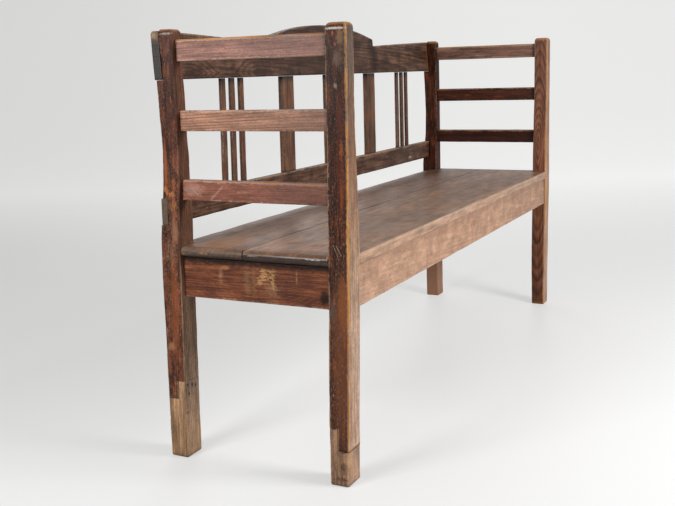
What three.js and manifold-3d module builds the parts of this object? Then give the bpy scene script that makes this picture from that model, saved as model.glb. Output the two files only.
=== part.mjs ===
// Wooden pew with a slatted back and railed ends, worn and mended over a long life.
//
// Four posts carry everything. The end rails and the seat aprons are tenoned into the posts. The crest rail
// and the lower back rail are boards let into notches in the back of the rear posts, and they run through to
// the outer faces, where their end grain shows. Two posts on the left have new feet, joined with a stepped lap.
//
// X runs along the pew, Y from the front to the back, and Z up. Lengths are millimetres.

import * as THREE from 'three';
import { mergeVertices } from 'three/addons/utils/BufferGeometryUtils.js';
import Module from 'manifold-3d';

const wasm = await Module();
wasm.setup();

// Overall sizes
const benchLength = 1720;
const seatTop = 476;
const firstRailAboveSeat = 101;
const railSpacing = 150.5;
const postHeadAboveTopRail = 19;
const rearPostExtraHeight = 4;

// Fits
const jointGap = 0.3;
const seatNotchGap = 0.8;
const cutOverrun = 30;

// Posts
const postWidth = 56;
const postFootSplay = 3;
const postArrisRadius = 3;
const frontPostDepth = 46;
const frontPostFootDepth = 43;
const frontPostFootTaperHeight = 190;
const frontPostFootSetback = 10;
const frontPostHeadLead = 5;
const frontPostHeadWidth = 39;
const frontPostSlimHeight = 330;
const rearPostSetback = 405;
const rearPostFootDepth = 45;
const rearPostSeatDepth = 50;
const rearPostWaistDepth = 43;
const rearPostWaistHeight = 144;
const rearPostHeadDepth = 49;
const rearPostHeadWidth = 39;
const rearPostSlimHeight = 240;
const rearPostFootLead = 2;
const rearPostBendHeight = 200;
const leftRearPostBendLead = 7;
const rightRearPostBendLead = 1;
const footChamferHeight = 5;
const footChamferInset = 3;
const headRoundHeight = 12;
const headRoundInset = 8;

// Spliced feet
const frontSpliceLow = 74;
const frontSpliceHigh = 122;
const frontSpliceTongueDepth = 19;
const rearSpliceLow = 134;
const rearSpliceHigh = 173;
const rearSpliceTongueDepth = 20;

// End rails
const endRailRecess = 12;
const endRailThickness = 20;
const topRailHeight = 47;
const endRailHeight = 45;
const endRailArrisRadius = 4;
const endTenonThickness = 10;
const endTenonLength = 24;
const endTenonShoulder = 7;

// Seat
const seatThickness = 23;
const frontPlankWidth = 248;
const plankJointGap = 0.6;
const seatArrisRadius = 3;

// Aprons and the bearer below the seat
const apronHeight = 89;
const apronThickness = 22;
const apronArrisRadius = 2;
const frontApronRecess = 6;
const rearApronRecess = 9;
const endApronRecess = 12;
const apronTenonThickness = 10;
const apronTenonShoulder = 10;
const woodBetweenTenons = 4;
const bearerWidth = 44;
const bearerHeight = 60;
const bearerTenonLength = 9;
const bearerTenonThickness = 20;
const bearerTenonShoulder = 14;

// Back
const backPlaneInset = 28;
const crestThickness = 20;
const crestEndHeight = 106;
const crestEndLean = 7;
const crestEndBelowPost = 3;
const crestWingLowHeight = 86;
const crestSpringHeight = 108;
const crestCentreHeight = 143;
const crestArchHalfSpan = 330;
const crestArchLeftOfMiddle = 14;
const crestWingSwell = 1.5;
const crestArrisRadius = 1.5;
const lowerRailAboveSeat = 46;
const lowerRailHeight = 59;
const lowerRailThickness = 16;
const lowerRailArrisRadius = 2;
const slatArrisRadius = 1.5;
const slatSeatDepth = 12;
const wideSlatWidth = 62;
const wideSlatThickness = 15;
const wideSlatSetback = 0.5;
const wideSlatTenonThickness = 8;
const wideSlatTenonShoulder = 6;
const narrowSlatWidth = 20;
const narrowSlatThickness = 8;
const narrowSlatSpacing = 43;
const narrowSlatGroupFromEnd = 298;
const middleSlatLeftOfMiddle = 11;
const narrowSlatsPerGroup = 3;

// Smoothness of the faceted curves
const postSteps = 22;
const headSteps = 4;
const arrisSegments = 1;
const outlineSegments = 16;

// Places worked out from the sizes above
const halfLength = benchLength / 2;
const seatUnderside = seatTop - seatThickness;
const apronTop = seatUnderside - jointGap;
const apronFoot = apronTop - apronHeight;
const lowerEndRailFoot = seatTop + firstRailAboveSeat;
const middleEndRailFoot = lowerEndRailFoot + railSpacing;
const topEndRailFoot = middleEndRailFoot + railSpacing;
const frontPostHeight = topEndRailFoot + topRailHeight + postHeadAboveTopRail;
const rearPostHeight = frontPostHeight + rearPostExtraHeight;
const crestFoot = rearPostHeight - crestEndBelowPost - crestEndHeight;
const lowerRailFoot = seatTop + lowerRailAboveSeat;
const lowerRailTop = lowerRailFoot + lowerRailHeight;
const frontApronBack = frontApronRecess + apronThickness;
const rearApronFront = rearPostSetback + rearApronRecess;
const endApronCheek = (apronThickness - apronTenonThickness) / 2;
const longTenonEnd = halfLength - endApronRecess - apronThickness + endApronCheek - woodBetweenTenons;
const backFront = rearPostSetback + backPlaneInset;
const quarterTurn = Math.PI / 2;

// A post is described by the line of its front face, straight from point to point, and by its depth and width,
// which ease from each height to the next.
const frontPostForm = {
  line: [
    { height: 0, value: frontPostFootSetback },
    { height: seatTop, value: 0 },
    { height: frontPostHeight, value: -frontPostHeadLead },
  ],
  depths: [
    { height: 0, value: frontPostFootDepth },
    { height: frontPostFootTaperHeight, value: frontPostDepth },
  ],
  widths: [
    { height: seatTop, value: postWidth },
    { height: seatTop + frontPostSlimHeight, value: frontPostHeadWidth },
  ],
  top: frontPostHeight,
};

/** The form of a rear post, which bends forwards a little above the seat. */
function rearPostForm(bendLead) {
  return {
    line: [
      { height: 0, value: rearPostSetback - rearPostFootLead },
      { height: seatTop, value: rearPostSetback },
      { height: seatTop + rearPostBendHeight, value: rearPostSetback - bendLead },
      { height: rearPostHeight, value: rearPostSetback },
    ],
    depths: [
      { height: 0, value: rearPostFootDepth },
      { height: seatTop, value: rearPostSeatDepth },
      { height: seatTop + rearPostWaistHeight, value: rearPostWaistDepth },
      { height: rearPostHeight, value: rearPostHeadDepth },
    ],
    widths: [
      { height: seatTop, value: postWidth },
      { height: seatTop + rearPostSlimHeight, value: rearPostHeadWidth },
    ],
    top: rearPostHeight,
  };
}

const leftRearPostForm = rearPostForm(leftRearPostBendLead);
const rightRearPostForm = rearPostForm(rightRearPostBendLead);

/** The form of the rear post at one end, -1 for the left end and 1 for the right. */
function rearFormAt(side) {
  return side < 0 ? leftRearPostForm : rightRearPostForm;
}

// Axes in order, so that a section drawn in X and Y can be laid along another axis without turning it inside out
const xAxis = new THREE.Vector3(1, 0, 0);
const yAxis = new THREE.Vector3(0, 1, 0);
const zAxis = new THREE.Vector3(0, 0, 1);
const layAlongX = new THREE.Matrix4().makeBasis(yAxis, zAxis, xAxis);
const layAlongY = new THREE.Matrix4().makeBasis(zAxis, xAxis, yAxis);

/** Turns a closed geometry into a solid that can be joined and cut. */
function solidFrom(geometry) {
  geometry.deleteAttribute('normal');
  geometry.deleteAttribute('uv');
  const merged = mergeVertices(geometry);
  const mesh = new wasm.Mesh({
    numProp: 3,
    vertProperties: new Float32Array(merged.attributes.position.array),
    triVerts: new Uint32Array(merged.index.array),
  });
  return new wasm.Manifold(mesh);
}

/** Turns a solid back into a geometry for a mesh. */
function geometryFrom(solid) {
  const { vertProperties, triVerts } = solid.getMesh();
  const geometry = new THREE.BufferGeometry();
  geometry.setAttribute('position', new THREE.BufferAttribute(vertProperties, 3));
  geometry.setIndex(new THREE.BufferAttribute(triVerts, 1));
  geometry.computeVertexNormals();
  return geometry;
}

/** A box between two values on each axis, given in either order. */
function boxBetween(x, y, z) {
  const first = new THREE.Vector3(x[0], y[0], z[0]);
  const second = new THREE.Vector3(x[1], y[1], z[1]);
  return new THREE.Box3(first.clone().min(second), first.clone().max(second));
}

/** A plain rectangular solid that fills a box. */
function blockFrom(box) {
  const size = box.getSize(new THREE.Vector3());
  const centre = box.getCenter(new THREE.Vector3());
  return solidFrom(new THREE.BoxGeometry(size.x, size.y, size.z).translate(centre.x, centre.y, centre.z));
}

/** Cuts a hole for each of the boxes out of a solid, with a clearance round the box. */
function cutFor(solid, boxes) {
  return boxes.reduce((rest, box) => rest.subtract(blockFrom(box.clone().expandByScalar(jointGap))), solid);
}

/**
 * A bar with rounded arrises that follows a list of levels along Z. Each level has its height and the places of
 * its four faces there: left and right in X, front and back in Y. The section is drawn small about its middle,
 * and each quarter of it is then carried out to the faces.
 */
function barThroughLevels(levels, arrisRadius) {
  const reach = 2 * arrisRadius;
  const section = new THREE.Shape();
  [[1, 1], [-1, 1], [-1, -1], [1, -1]].forEach(([x, y], turn) => {
    const start = turn * quarterTurn;
    section.absarc(x * arrisRadius, y * arrisRadius, arrisRadius, start, start + quarterTurn, false);
  });
  const steps = levels.length - 1;
  const options = { depth: steps, steps, bevelEnabled: false, curveSegments: arrisSegments };
  const geometry = new THREE.ExtrudeGeometry(section, options);
  const position = geometry.attributes.position;
  for (let index = 0; index < position.count; index += 1) {
    const level = levels[Math.round(position.getZ(index))];
    const x = position.getX(index);
    const y = position.getY(index);
    position.setXYZ(
      index,
      x < 0 ? level.left + reach + x : level.right - reach + x,
      y < 0 ? level.front + reach + y : level.back - reach + y,
      level.height,
    );
  }
  return geometry;
}

/** A straight bar with rounded arrises along X that fills a box. */
function barAlongX(box, arrisRadius) {
  const faces = { left: box.min.y, right: box.max.y, front: box.min.z, back: box.max.z };
  const levels = [box.min.x, box.max.x].map((height) => ({ height, ...faces }));
  return solidFrom(barThroughLevels(levels, arrisRadius).applyMatrix4(layAlongX));
}

/** A straight bar with rounded arrises along Y that fills a box. */
function barAlongY(box, arrisRadius) {
  const faces = { left: box.min.z, right: box.max.z, front: box.min.x, back: box.max.x };
  const levels = [box.min.y, box.max.y].map((height) => ({ height, ...faces }));
  return solidFrom(barThroughLevels(levels, arrisRadius).applyMatrix4(layAlongY));
}

/** A straight bar with rounded arrises along Z that fills a box. */
function barAlongZ(box, arrisRadius) {
  const faces = { left: box.min.x, right: box.max.x, front: box.min.y, back: box.max.y };
  const levels = [box.min.z, box.max.z].map((height) => ({ height, ...faces }));
  return solidFrom(barThroughLevels(levels, arrisRadius));
}

/** Places measured inwards from the outer face of one end, -1 for the left end and 1 for the right. */
function inFromEnd(side, from, to) {
  return [side * (halfLength - from), side * (halfLength - to)];
}

/** Reads a value at one height from a list of points, straight or eased from each point to the next. */
function valueAt(points, height, isEased) {
  const upper = points.find((point) => point.height >= height) ?? points.at(-1);
  const lower = points[Math.max(0, points.indexOf(upper) - 1)];
  const rise = THREE.MathUtils.inverseLerp(lower.height, upper.height, height);
  const share = isEased ? THREE.MathUtils.smoothstep(rise, 0, 1) : THREE.MathUtils.clamp(rise, 0, 1);
  return THREE.MathUtils.lerp(lower.value, upper.value, share);
}

/** Reads how far a post's outer face stands out past the pew's length at one height, because its foot is splayed. */
function splayAt(height) {
  return postFootSplay * Math.max(0, 1 - height / seatTop);
}

/** Reads where a post's front and back faces stand at one height, and how wide it is. */
function postSection(form, height) {
  const front = valueAt(form.line, height, false);
  return {
    front,
    back: front + valueAt(form.depths, height, true),
    width: valueAt(form.widths, height, true),
  };
}

/** A whole post before any joint is cut, with a chamfered foot and a rounded, worn head, moved back if asked. */
function postBlank(side, form, shift = 0) {
  const shaftTop = form.top - headRoundHeight;
  const levelAt = (height, inset) => {
    const { front, back, width } = postSection(form, height);
    const splay = splayAt(height);
    const [outer, inner] = inFromEnd(side, inset - splay, width - inset - splay);
    return {
      height,
      left: Math.min(outer, inner),
      right: Math.max(outer, inner),
      front: front + inset,
      back: back - inset,
    };
  };
  const levels = [levelAt(0, footChamferInset)];
  for (let step = 0; step <= postSteps; step += 1) {
    levels.push(levelAt(THREE.MathUtils.lerp(footChamferHeight, shaftTop, step / postSteps), 0));
  }
  for (let step = 1; step <= headSteps; step += 1) {
    const angle = quarterTurn * (step / headSteps);
    const inset = headRoundInset * (1 - Math.cos(angle));
    levels.push(levelAt(shaftTop + headRoundHeight * Math.sin(angle), inset));
  }
  return solidFrom(barThroughLevels(levels, postArrisRadius).translate(0, shift, 0));
}

// Finishes, one colour for each run of wood
const postFinish = { color: 0x4b3024, roughness: 0.62, metalness: 0 };
const railFinish = { color: 0x6d4838, roughness: 0.55, metalness: 0 };
const backFinish = { color: 0x57412f, roughness: 0.6, metalness: 0 };
const slatFinish = { color: 0x5f4234, roughness: 0.6, metalness: 0 };
const seatFinish = { color: 0x7b6353, roughness: 0.58, metalness: 0 };
const frontApronFinish = { color: 0xa07b60, roughness: 0.66, metalness: 0 };
const endApronFinish = { color: 0x653f2f, roughness: 0.58, metalness: 0 };
const undersideFinish = { color: 0x83664f, roughness: 0.75, metalness: 0 };
const newFootFinish = { color: 0xa5825f, roughness: 0.75, metalness: 0 };

// The pieces that join a front post to a rear post, the same at both ends
const endRailShape = {
  recess: endRailRecess,
  thickness: endRailThickness,
  arrisRadius: endRailArrisRadius,
  tenonThickness: endTenonThickness,
  tenonShoulder: endTenonShoulder,
  finish: railFinish,
};
const endPieces = [
  { ...endRailShape, name: 'end_rail_top', foot: topEndRailFoot, height: topRailHeight },
  { ...endRailShape, name: 'end_rail_middle', foot: middleEndRailFoot, height: endRailHeight },
  { ...endRailShape, name: 'end_rail_lower', foot: lowerEndRailFoot, height: endRailHeight },
  {
    name: 'end_apron',
    foot: apronFoot,
    height: apronHeight,
    recess: endApronRecess,
    thickness: apronThickness,
    arrisRadius: apronArrisRadius,
    tenonThickness: apronTenonThickness,
    tenonShoulder: apronTenonShoulder,
    finish: endApronFinish,
  },
];

/** The core of an end piece, which runs through it from one blind mortise to the other and forms both tenons. */
function endCore(side, piece) {
  const top = piece.foot + piece.height;
  const cheek = (piece.thickness - piece.tenonThickness) / 2;
  const x = inFromEnd(side, piece.recess + cheek, piece.recess + piece.thickness - cheek);
  const frontMortise = postSection(frontPostForm, top).back - endTenonLength;
  const rearMortise = postSection(rearFormAt(side), top).front + endTenonLength;
  return boxBetween(x, [frontMortise, rearMortise], [piece.foot + piece.tenonShoulder, top - piece.tenonShoulder]);
}

/** An end piece: the bar that shows between the posts, with its shoulders cut to their faces, and its core. */
function endPiece(side, piece) {
  const core = endCore(side, piece);
  const x = inFromEnd(side, piece.recess, piece.recess + piece.thickness);
  const body = boxBetween(x, [core.min.y, core.max.y], [piece.foot, piece.foot + piece.height]);
  const shouldered = barAlongY(body, piece.arrisRadius)
    .subtract(postBlank(side, frontPostForm, jointGap))
    .subtract(postBlank(side, rearFormAt(side), -jointGap));
  return shouldered.add(blockFrom(core));
}

/** The core of a long apron, whose tenons stop short of the end aprons' tenons inside the posts. */
function longApronCore(front) {
  const y = [front + endApronCheek, front + apronThickness - endApronCheek];
  const z = [apronFoot + apronTenonShoulder, apronTop - apronTenonShoulder];
  return boxBetween([-longTenonEnd, longTenonEnd], y, z);
}

function longApron(front) {
  const reach = halfLength - postWidth - jointGap;
  const body = boxBetween([-reach, reach], [front, front + apronThickness], [apronFoot, apronTop]);
  const whole = barAlongX(body, apronArrisRadius).add(blockFrom(longApronCore(front)));
  return cutFor(whole, [bearerCore()]);
}

/** The tenoned core of the bearer that ties the two long aprons together under the middle of the seat. */
function bearerCore() {
  const halfThickness = bearerTenonThickness / 2;
  const y = [frontApronBack - bearerTenonLength, rearApronFront + bearerTenonLength];
  const z = [apronTop - bearerHeight + bearerTenonShoulder, apronTop - bearerTenonShoulder];
  return boxBetween([-halfThickness, halfThickness], y, z);
}

function seatBearer() {
  const halfWidth = bearerWidth / 2;
  const y = [frontApronBack + jointGap, rearApronFront - jointGap];
  const body = boxBetween([-halfWidth, halfWidth], y, [apronTop - bearerHeight, apronTop]);
  return barAlongY(body, apronArrisRadius).add(blockFrom(bearerCore()));
}

// Back rails: boards with their fronts in one plane, let into the rear posts and seen from the ends
const notchAcross = [-halfLength - cutOverrun, halfLength + cutOverrun];
const notchThrough = [backFront, backFront + crestThickness + cutOverrun];
const crestNotch = boxBetween(notchAcross, notchThrough, [crestFoot, rearPostHeight + cutOverrun]);
const lowerRailNotch = boxBetween(notchAcross, notchThrough, [lowerRailFoot, lowerRailTop]);

/** Leans a solid back about the crest's foot, so that what was upright slopes with the crest. */
function leanedBack(solid) {
  const slope = crestEndLean / crestEndHeight;
  return solid.warp((point) => {
    point[1] += slope * (point[2] - crestFoot);
  });
}

/** The crest's outline: level ends on the posts, rising wings, and a low arch between two square steps. */
function crestOutline() {
  const rise = crestCentreHeight - crestSpringHeight;
  const archRadius = (crestArchHalfSpan ** 2 + rise ** 2) / (2 * rise);
  const archCentre = crestFoot + crestCentreHeight - archRadius;
  const archStart = Math.acos(crestArchHalfSpan / archRadius);
  const leftStep = -crestArchLeftOfMiddle - crestArchHalfSpan;
  const rightStep = crestArchHalfSpan - crestArchLeftOfMiddle;
  const wingEnd = halfLength - rearPostHeadWidth;
  const endTop = crestFoot + crestEndHeight;
  const wingLow = crestFoot + crestWingLowHeight;
  const wingBend = (endTop + wingLow) / 2 + crestWingSwell;
  const outline = new THREE.Shape();
  outline.moveTo(-halfLength, crestFoot);
  outline.lineTo(halfLength, crestFoot);
  outline.lineTo(halfLength, endTop);
  outline.lineTo(wingEnd, endTop);
  outline.quadraticCurveTo((wingEnd + rightStep) / 2, wingBend, rightStep, wingLow);
  outline.lineTo(rightStep, crestFoot + crestSpringHeight);
  outline.absarc(-crestArchLeftOfMiddle, archCentre, archRadius, archStart, Math.PI - archStart, false);
  outline.lineTo(leftStep, wingLow);
  outline.quadraticCurveTo((leftStep - wingEnd) / 2, wingBend, -wingEnd, endTop);
  outline.lineTo(-halfLength, endTop);
  return outline;
}

/** Extrudes an outline drawn in X and Z from a front place to a back place, easing its arrises. */
function boardFromOutline(outline, front, thickness, arrisRadius) {
  const geometry = new THREE.ExtrudeGeometry(outline, {
    depth: thickness - 2 * arrisRadius,
    bevelEnabled: arrisRadius > 0,
    bevelThickness: arrisRadius,
    bevelSize: arrisRadius,
    bevelOffset: -arrisRadius,
    bevelSegments: arrisSegments,
    curveSegments: outlineSegments,
  });
  geometry.rotateX(quarterTurn);
  geometry.translate(0, front + thickness - arrisRadius, 0);
  return solidFrom(geometry);
}

// Slats: a group of narrow ones near each post, a wide one in the middle, and a wide one halfway to each group
const narrowSlatGroupOffset = halfLength - narrowSlatGroupFromEnd;
const wideSlats = [
  { name: 'wide_slat_left', centre: -narrowSlatGroupOffset / 2 },
  { name: 'wide_slat_middle', centre: -middleSlatLeftOfMiddle },
  { name: 'wide_slat_right', centre: narrowSlatGroupOffset / 2 },
];

/** Places the narrow slats of one group, evenly spaced about the group's middle. */
function narrowSlatGroup(sideName, side) {
  return Array.from({ length: narrowSlatsPerGroup }, (_, index) => ({
    name: `narrow_slat_${sideName}_${index + 1}`,
    centre: side * narrowSlatGroupOffset + (index - (narrowSlatsPerGroup - 1) / 2) * narrowSlatSpacing,
  }));
}

const narrowSlats = [...narrowSlatGroup('left', -1), ...narrowSlatGroup('right', 1)];

/** A box for a slat that stands between the back rails and enters both of them. */
function slatBox(slat, front, width, thickness) {
  const x = [slat.centre - width / 2, slat.centre + width / 2];
  const z = [lowerRailTop - slatSeatDepth, crestFoot + slatSeatDepth];
  return boxBetween(x, [front, front + thickness], z);
}

/** The box of a narrow slat, which enters both rails with its whole section. */
function narrowSlatBox(slat) {
  const front = backFront + (lowerRailThickness - narrowSlatThickness) / 2;
  return slatBox(slat, front, narrowSlatWidth, narrowSlatThickness);
}

/** The core of a wide slat, whose two ends are its tenons. */
function wideSlatCore(slat) {
  const front = backFront + wideSlatSetback + (wideSlatThickness - wideSlatTenonThickness) / 2;
  return slatBox(slat, front, wideSlatWidth - 2 * wideSlatTenonShoulder, wideSlatTenonThickness);
}

function wideSlat(slat) {
  const body = slatBox(slat, backFront + wideSlatSetback, wideSlatWidth, wideSlatThickness);
  body.min.z = lowerRailTop + jointGap;
  body.max.z = crestFoot - jointGap;
  return barAlongZ(body, slatArrisRadius).add(blockFrom(wideSlatCore(slat)));
}

const slatSeats = [...wideSlats.map(wideSlatCore), ...narrowSlats.map(narrowSlatBox)];

function crestRail() {
  const upright = boardFromOutline(crestOutline(), backFront, crestThickness, crestArrisRadius);
  return cutFor(leanedBack(upright), slatSeats);
}

function lowerBackRail() {
  const y = [backFront, backFront + lowerRailThickness];
  const body = boxBetween([-halfLength, halfLength], y, [lowerRailFoot, lowerRailTop]);
  return cutFor(barAlongX(body, lowerRailArrisRadius), slatSeats);
}

/** A seat plank with rounded nosings at both ends, notched round the four posts. */
function seatPlank(front, back) {
  const radius = seatThickness / 2;
  const middle = seatUnderside + radius;
  const profile = new THREE.Shape();
  profile.absarc(halfLength - radius, middle, radius, -quarterTurn, quarterTurn, false);
  profile.absarc(radius - halfLength, middle, radius, quarterTurn, 3 * quarterTurn, false);
  const nosed = boardFromOutline(profile, front, back - front, 0);
  const plain = boxBetween([-halfLength, halfLength], [front, back], [seatUnderside, seatTop]);
  const plank = nosed.intersect(barAlongX(plain, seatArrisRadius));
  const z = [seatUnderside - cutOverrun, seatTop + cutOverrun];
  const sections = (form) => [seatUnderside, seatTop].map((height) => postSection(form, height));
  const frontPostBack = Math.max(...sections(frontPostForm).map((section) => section.back));
  const rearPostFront = Math.min(...sections(leftRearPostForm).map((section) => section.front));
  const frontNotch = [-cutOverrun, frontPostBack + seatNotchGap];
  const rearNotch = [rearPostFront - seatNotchGap, backFront + cutOverrun];
  return [-1, 1].reduce((rest, side) => {
    const x = inFromEnd(side, -cutOverrun, postWidth + seatNotchGap);
    const notched = rest.subtract(blockFrom(boxBetween(x, frontNotch, z)));
    return notched.subtract(blockFrom(boxBetween(x, rearNotch, z)));
  }, plank);
}

/** The two boxes that a new foot fills: all of the post below a step, and a tongue in front or behind above it. */
function footBoxes(side, low, high, tongueFront, tongueBack) {
  const x = inFromEnd(side, -cutOverrun, postWidth + cutOverrun);
  const y = [-cutOverrun, backFront + crestThickness + cutOverrun];
  return [boxBetween(x, y, [-cutOverrun, low]), boxBetween(x, [tongueFront, tongueBack], [-cutOverrun, high])];
}

/** Splits a post into the old upper part and the new foot that is lapped to it. */
function splicedPost(post, boxes) {
  const foot = post.intersect(blockFrom(boxes[0]).add(blockFrom(boxes[1])));
  return { upper: cutFor(post, boxes), foot };
}

function frontPost(side) {
  const cores = endPieces.map((piece) => endCore(side, piece));
  return cutFor(postBlank(side, frontPostForm), [...cores, longApronCore(frontApronRecess)]);
}

function rearPost(side) {
  const cores = endPieces.map((piece) => endCore(side, piece));
  const notched = cutFor(postBlank(side, rearFormAt(side)), [...cores, longApronCore(rearApronFront), lowerRailNotch]);
  return notched.subtract(leanedBack(blockFrom(crestNotch.clone().expandByScalar(jointGap))));
}

/** Adds one piece of wood to a group, as a named mesh with its own material. */
function addPiece(group, name, solid, finish) {
  const material = new THREE.MeshStandardMaterial({ ...finish, flatShading: true });
  const mesh = new THREE.Mesh(geometryFrom(solid), material);
  mesh.name = name;
  group.add(mesh);
}

/** Builds the two posts of an end that kept its own feet. */
function buildWholePosts(side, sideName) {
  const posts = new THREE.Group();
  addPiece(posts, `front_post_${sideName}`, frontPost(side), postFinish);
  addPiece(posts, `rear_post_${sideName}`, rearPost(side), postFinish);
  return posts;
}

/** Builds the two posts of an end that has new feet, the front one lapped behind and the rear one in front. */
function buildSplicedPosts(side, sideName) {
  const posts = new THREE.Group();
  const frontFoot = postSection(frontPostForm, 0);
  const rearFoot = postSection(rearFormAt(side), 0);
  const frontTongue = [frontFoot.back - frontSpliceTongueDepth, frontFoot.back + cutOverrun];
  const rearTongue = [rearFoot.front - cutOverrun, rearFoot.front + rearSpliceTongueDepth];
  const front = splicedPost(frontPost(side), footBoxes(side, frontSpliceLow, frontSpliceHigh, ...frontTongue));
  const rear = splicedPost(rearPost(side), footBoxes(side, rearSpliceLow, rearSpliceHigh, ...rearTongue));
  addPiece(posts, `front_post_${sideName}`, front.upper, postFinish);
  addPiece(posts, `rear_post_${sideName}`, rear.upper, postFinish);
  addPiece(posts, `front_foot_${sideName}`, front.foot, newFootFinish);
  addPiece(posts, `rear_foot_${sideName}`, rear.foot, newFootFinish);
  return posts;
}

/** Builds the pieces between the two posts of one end: three rails and the apron. */
function buildEndPieces(side, sideName) {
  const pieces = new THREE.Group();
  for (const piece of endPieces) {
    addPiece(pieces, `${piece.name}_${sideName}`, endPiece(side, piece), piece.finish);
  }
  return pieces;
}

/** Builds the seat: two planks on the long aprons, with a bearer between these. */
function buildSeat() {
  const seat = new THREE.Group();
  addPiece(seat, 'seat_plank_front', seatPlank(0, frontPlankWidth), seatFinish);
  addPiece(seat, 'seat_plank_rear', seatPlank(frontPlankWidth + plankJointGap, backFront), seatFinish);
  addPiece(seat, 'front_apron', longApron(frontApronRecess), frontApronFinish);
  addPiece(seat, 'rear_apron', longApron(rearApronFront), undersideFinish);
  addPiece(seat, 'seat_bearer', seatBearer(), undersideFinish);
  return seat;
}

/** Builds the back: the crest, the lower rail and the slats between them. */
function buildBack() {
  const back = new THREE.Group();
  addPiece(back, 'crest_rail', crestRail(), backFinish);
  addPiece(back, 'lower_back_rail', lowerBackRail(), backFinish);
  for (const slat of wideSlats) {
    addPiece(back, slat.name, wideSlat(slat), slatFinish);
  }
  for (const slat of narrowSlats) {
    addPiece(back, slat.name, barAlongZ(narrowSlatBox(slat), slatArrisRadius), slatFinish);
  }
  return back;
}

const pew = new THREE.Group();
pew.add(buildSplicedPosts(-1, 'left'), buildEndPieces(-1, 'left'));
pew.add(buildWholePosts(1, 'right'), buildEndPieces(1, 'right'));
pew.add(buildSeat(), buildBack());

// The origin is on the floor under the middle of the pew
const middle = new THREE.Box3().setFromObject(pew).getCenter(new THREE.Vector3());
pew.position.set(-middle.x, -middle.y, 0);
pew.updateMatrixWorld(true);

export default pew;
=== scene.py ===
"""Dresses the frame of an old wooden church pew: worn timbers, aged finishes, floor, lamps and camera."""

import logging
import math
from collections.abc import Callable, Iterable
from dataclasses import dataclass, field, replace
from enum import Enum

import bpy
import numpy as np
from mathutils import Matrix, Vector
from numpy.typing import NDArray


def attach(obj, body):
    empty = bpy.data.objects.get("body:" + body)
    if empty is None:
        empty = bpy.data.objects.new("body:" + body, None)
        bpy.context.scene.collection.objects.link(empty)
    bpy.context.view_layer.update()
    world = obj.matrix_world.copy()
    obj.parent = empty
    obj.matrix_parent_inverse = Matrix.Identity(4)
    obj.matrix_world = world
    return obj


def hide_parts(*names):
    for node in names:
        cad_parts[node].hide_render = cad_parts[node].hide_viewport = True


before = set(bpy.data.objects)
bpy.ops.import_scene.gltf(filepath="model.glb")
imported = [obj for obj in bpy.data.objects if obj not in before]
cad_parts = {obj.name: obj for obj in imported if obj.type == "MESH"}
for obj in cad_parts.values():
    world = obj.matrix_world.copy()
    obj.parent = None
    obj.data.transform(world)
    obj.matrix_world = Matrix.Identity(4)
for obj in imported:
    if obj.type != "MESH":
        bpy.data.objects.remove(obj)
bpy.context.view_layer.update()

LOG = logging.getLogger("pew")
Array = NDArray[np.float64]
Place = tuple[float, float, float]
Four = tuple[float, float, float, float]
Pair = tuple[float, float]
Curve = tuple[Pair, ...]
MM = 0.001
QUARTER = 0.5 * math.pi


# Noise and small shapes


def smooth_share(value: Array | float, low: float, high: float) -> Array:
    """Rises from 0 at low to 1 at high, level at both ends: 3 t squared less 2 t cubed."""
    share = np.clip((np.asarray(value, float) - low) / (high - low), 0.0, 1.0)
    return share * share * (3.0 - 2.0 * share)


@dataclass(frozen=True)
class Ripple:
    """Smooth seeded noise: a sum of cosines of the place along waves in many directions.

    Each wave is shorter than the wavelength by a factor between those of finest.
    """

    seed: int
    wavelength: float
    stretch: Place = (1.0, 1.0, 1.0)
    waves: int = 20
    finest: Pair = (0.6, 1.7)

    def __call__(self, points: Array) -> Array:
        """Gives the noise at points.

        Args:
            points: Places in metres, with X, Y and Z in the last axis.

        Returns:
            One value for each place, about 0 with a spread of about 1.
        """
        random = np.random.default_rng(self.seed)
        directions = random.normal(size=(self.waves, 3))
        directions /= np.linalg.norm(directions, axis=1, keepdims=True)
        spread = random.uniform(*self.finest, size=(self.waves, 1))
        phases = random.uniform(0.0, 2.0 * math.pi, size=self.waves)
        numbers = directions * spread * (2.0 * math.pi / self.wavelength) / np.array(self.stretch)
        return np.cos(points @ numbers.T + phases).sum(-1) * math.sqrt(2.0 / self.waves)


@dataclass(frozen=True)
class Chip:
    """A place where wood is missing: the surface sinks by the depth at its middle and eases out round it."""

    at: Place
    size: Place
    depth: float

    def sink(self, points: Array) -> Array:
        """Gives how far each point sinks: the depth times exp of minus the squared distance in sizes."""
        away = (points - np.array(self.at)) / np.array(self.size)
        return self.depth * np.exp(-np.square(away).sum(-1))


class Grain(Enum):
    """The axis along which a piece of wood runs, with the two axes across it in turning order."""

    X = (0, 1, 2)
    Y = (1, 2, 0)
    Z = (2, 0, 1)

    def stretched(self, along: float, across: float) -> Place:
        """Gives one scale for each axis, one along the wood and another across it.

        Args:
            along: The scale along the wood.
            across: The scale across it.

        Returns:
            The scales of X, Y and Z.
        """
        scales = [across, across, across]
        scales[self.value[0]] = along
        return (scales[0], scales[1], scales[2])


# Timbers


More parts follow.
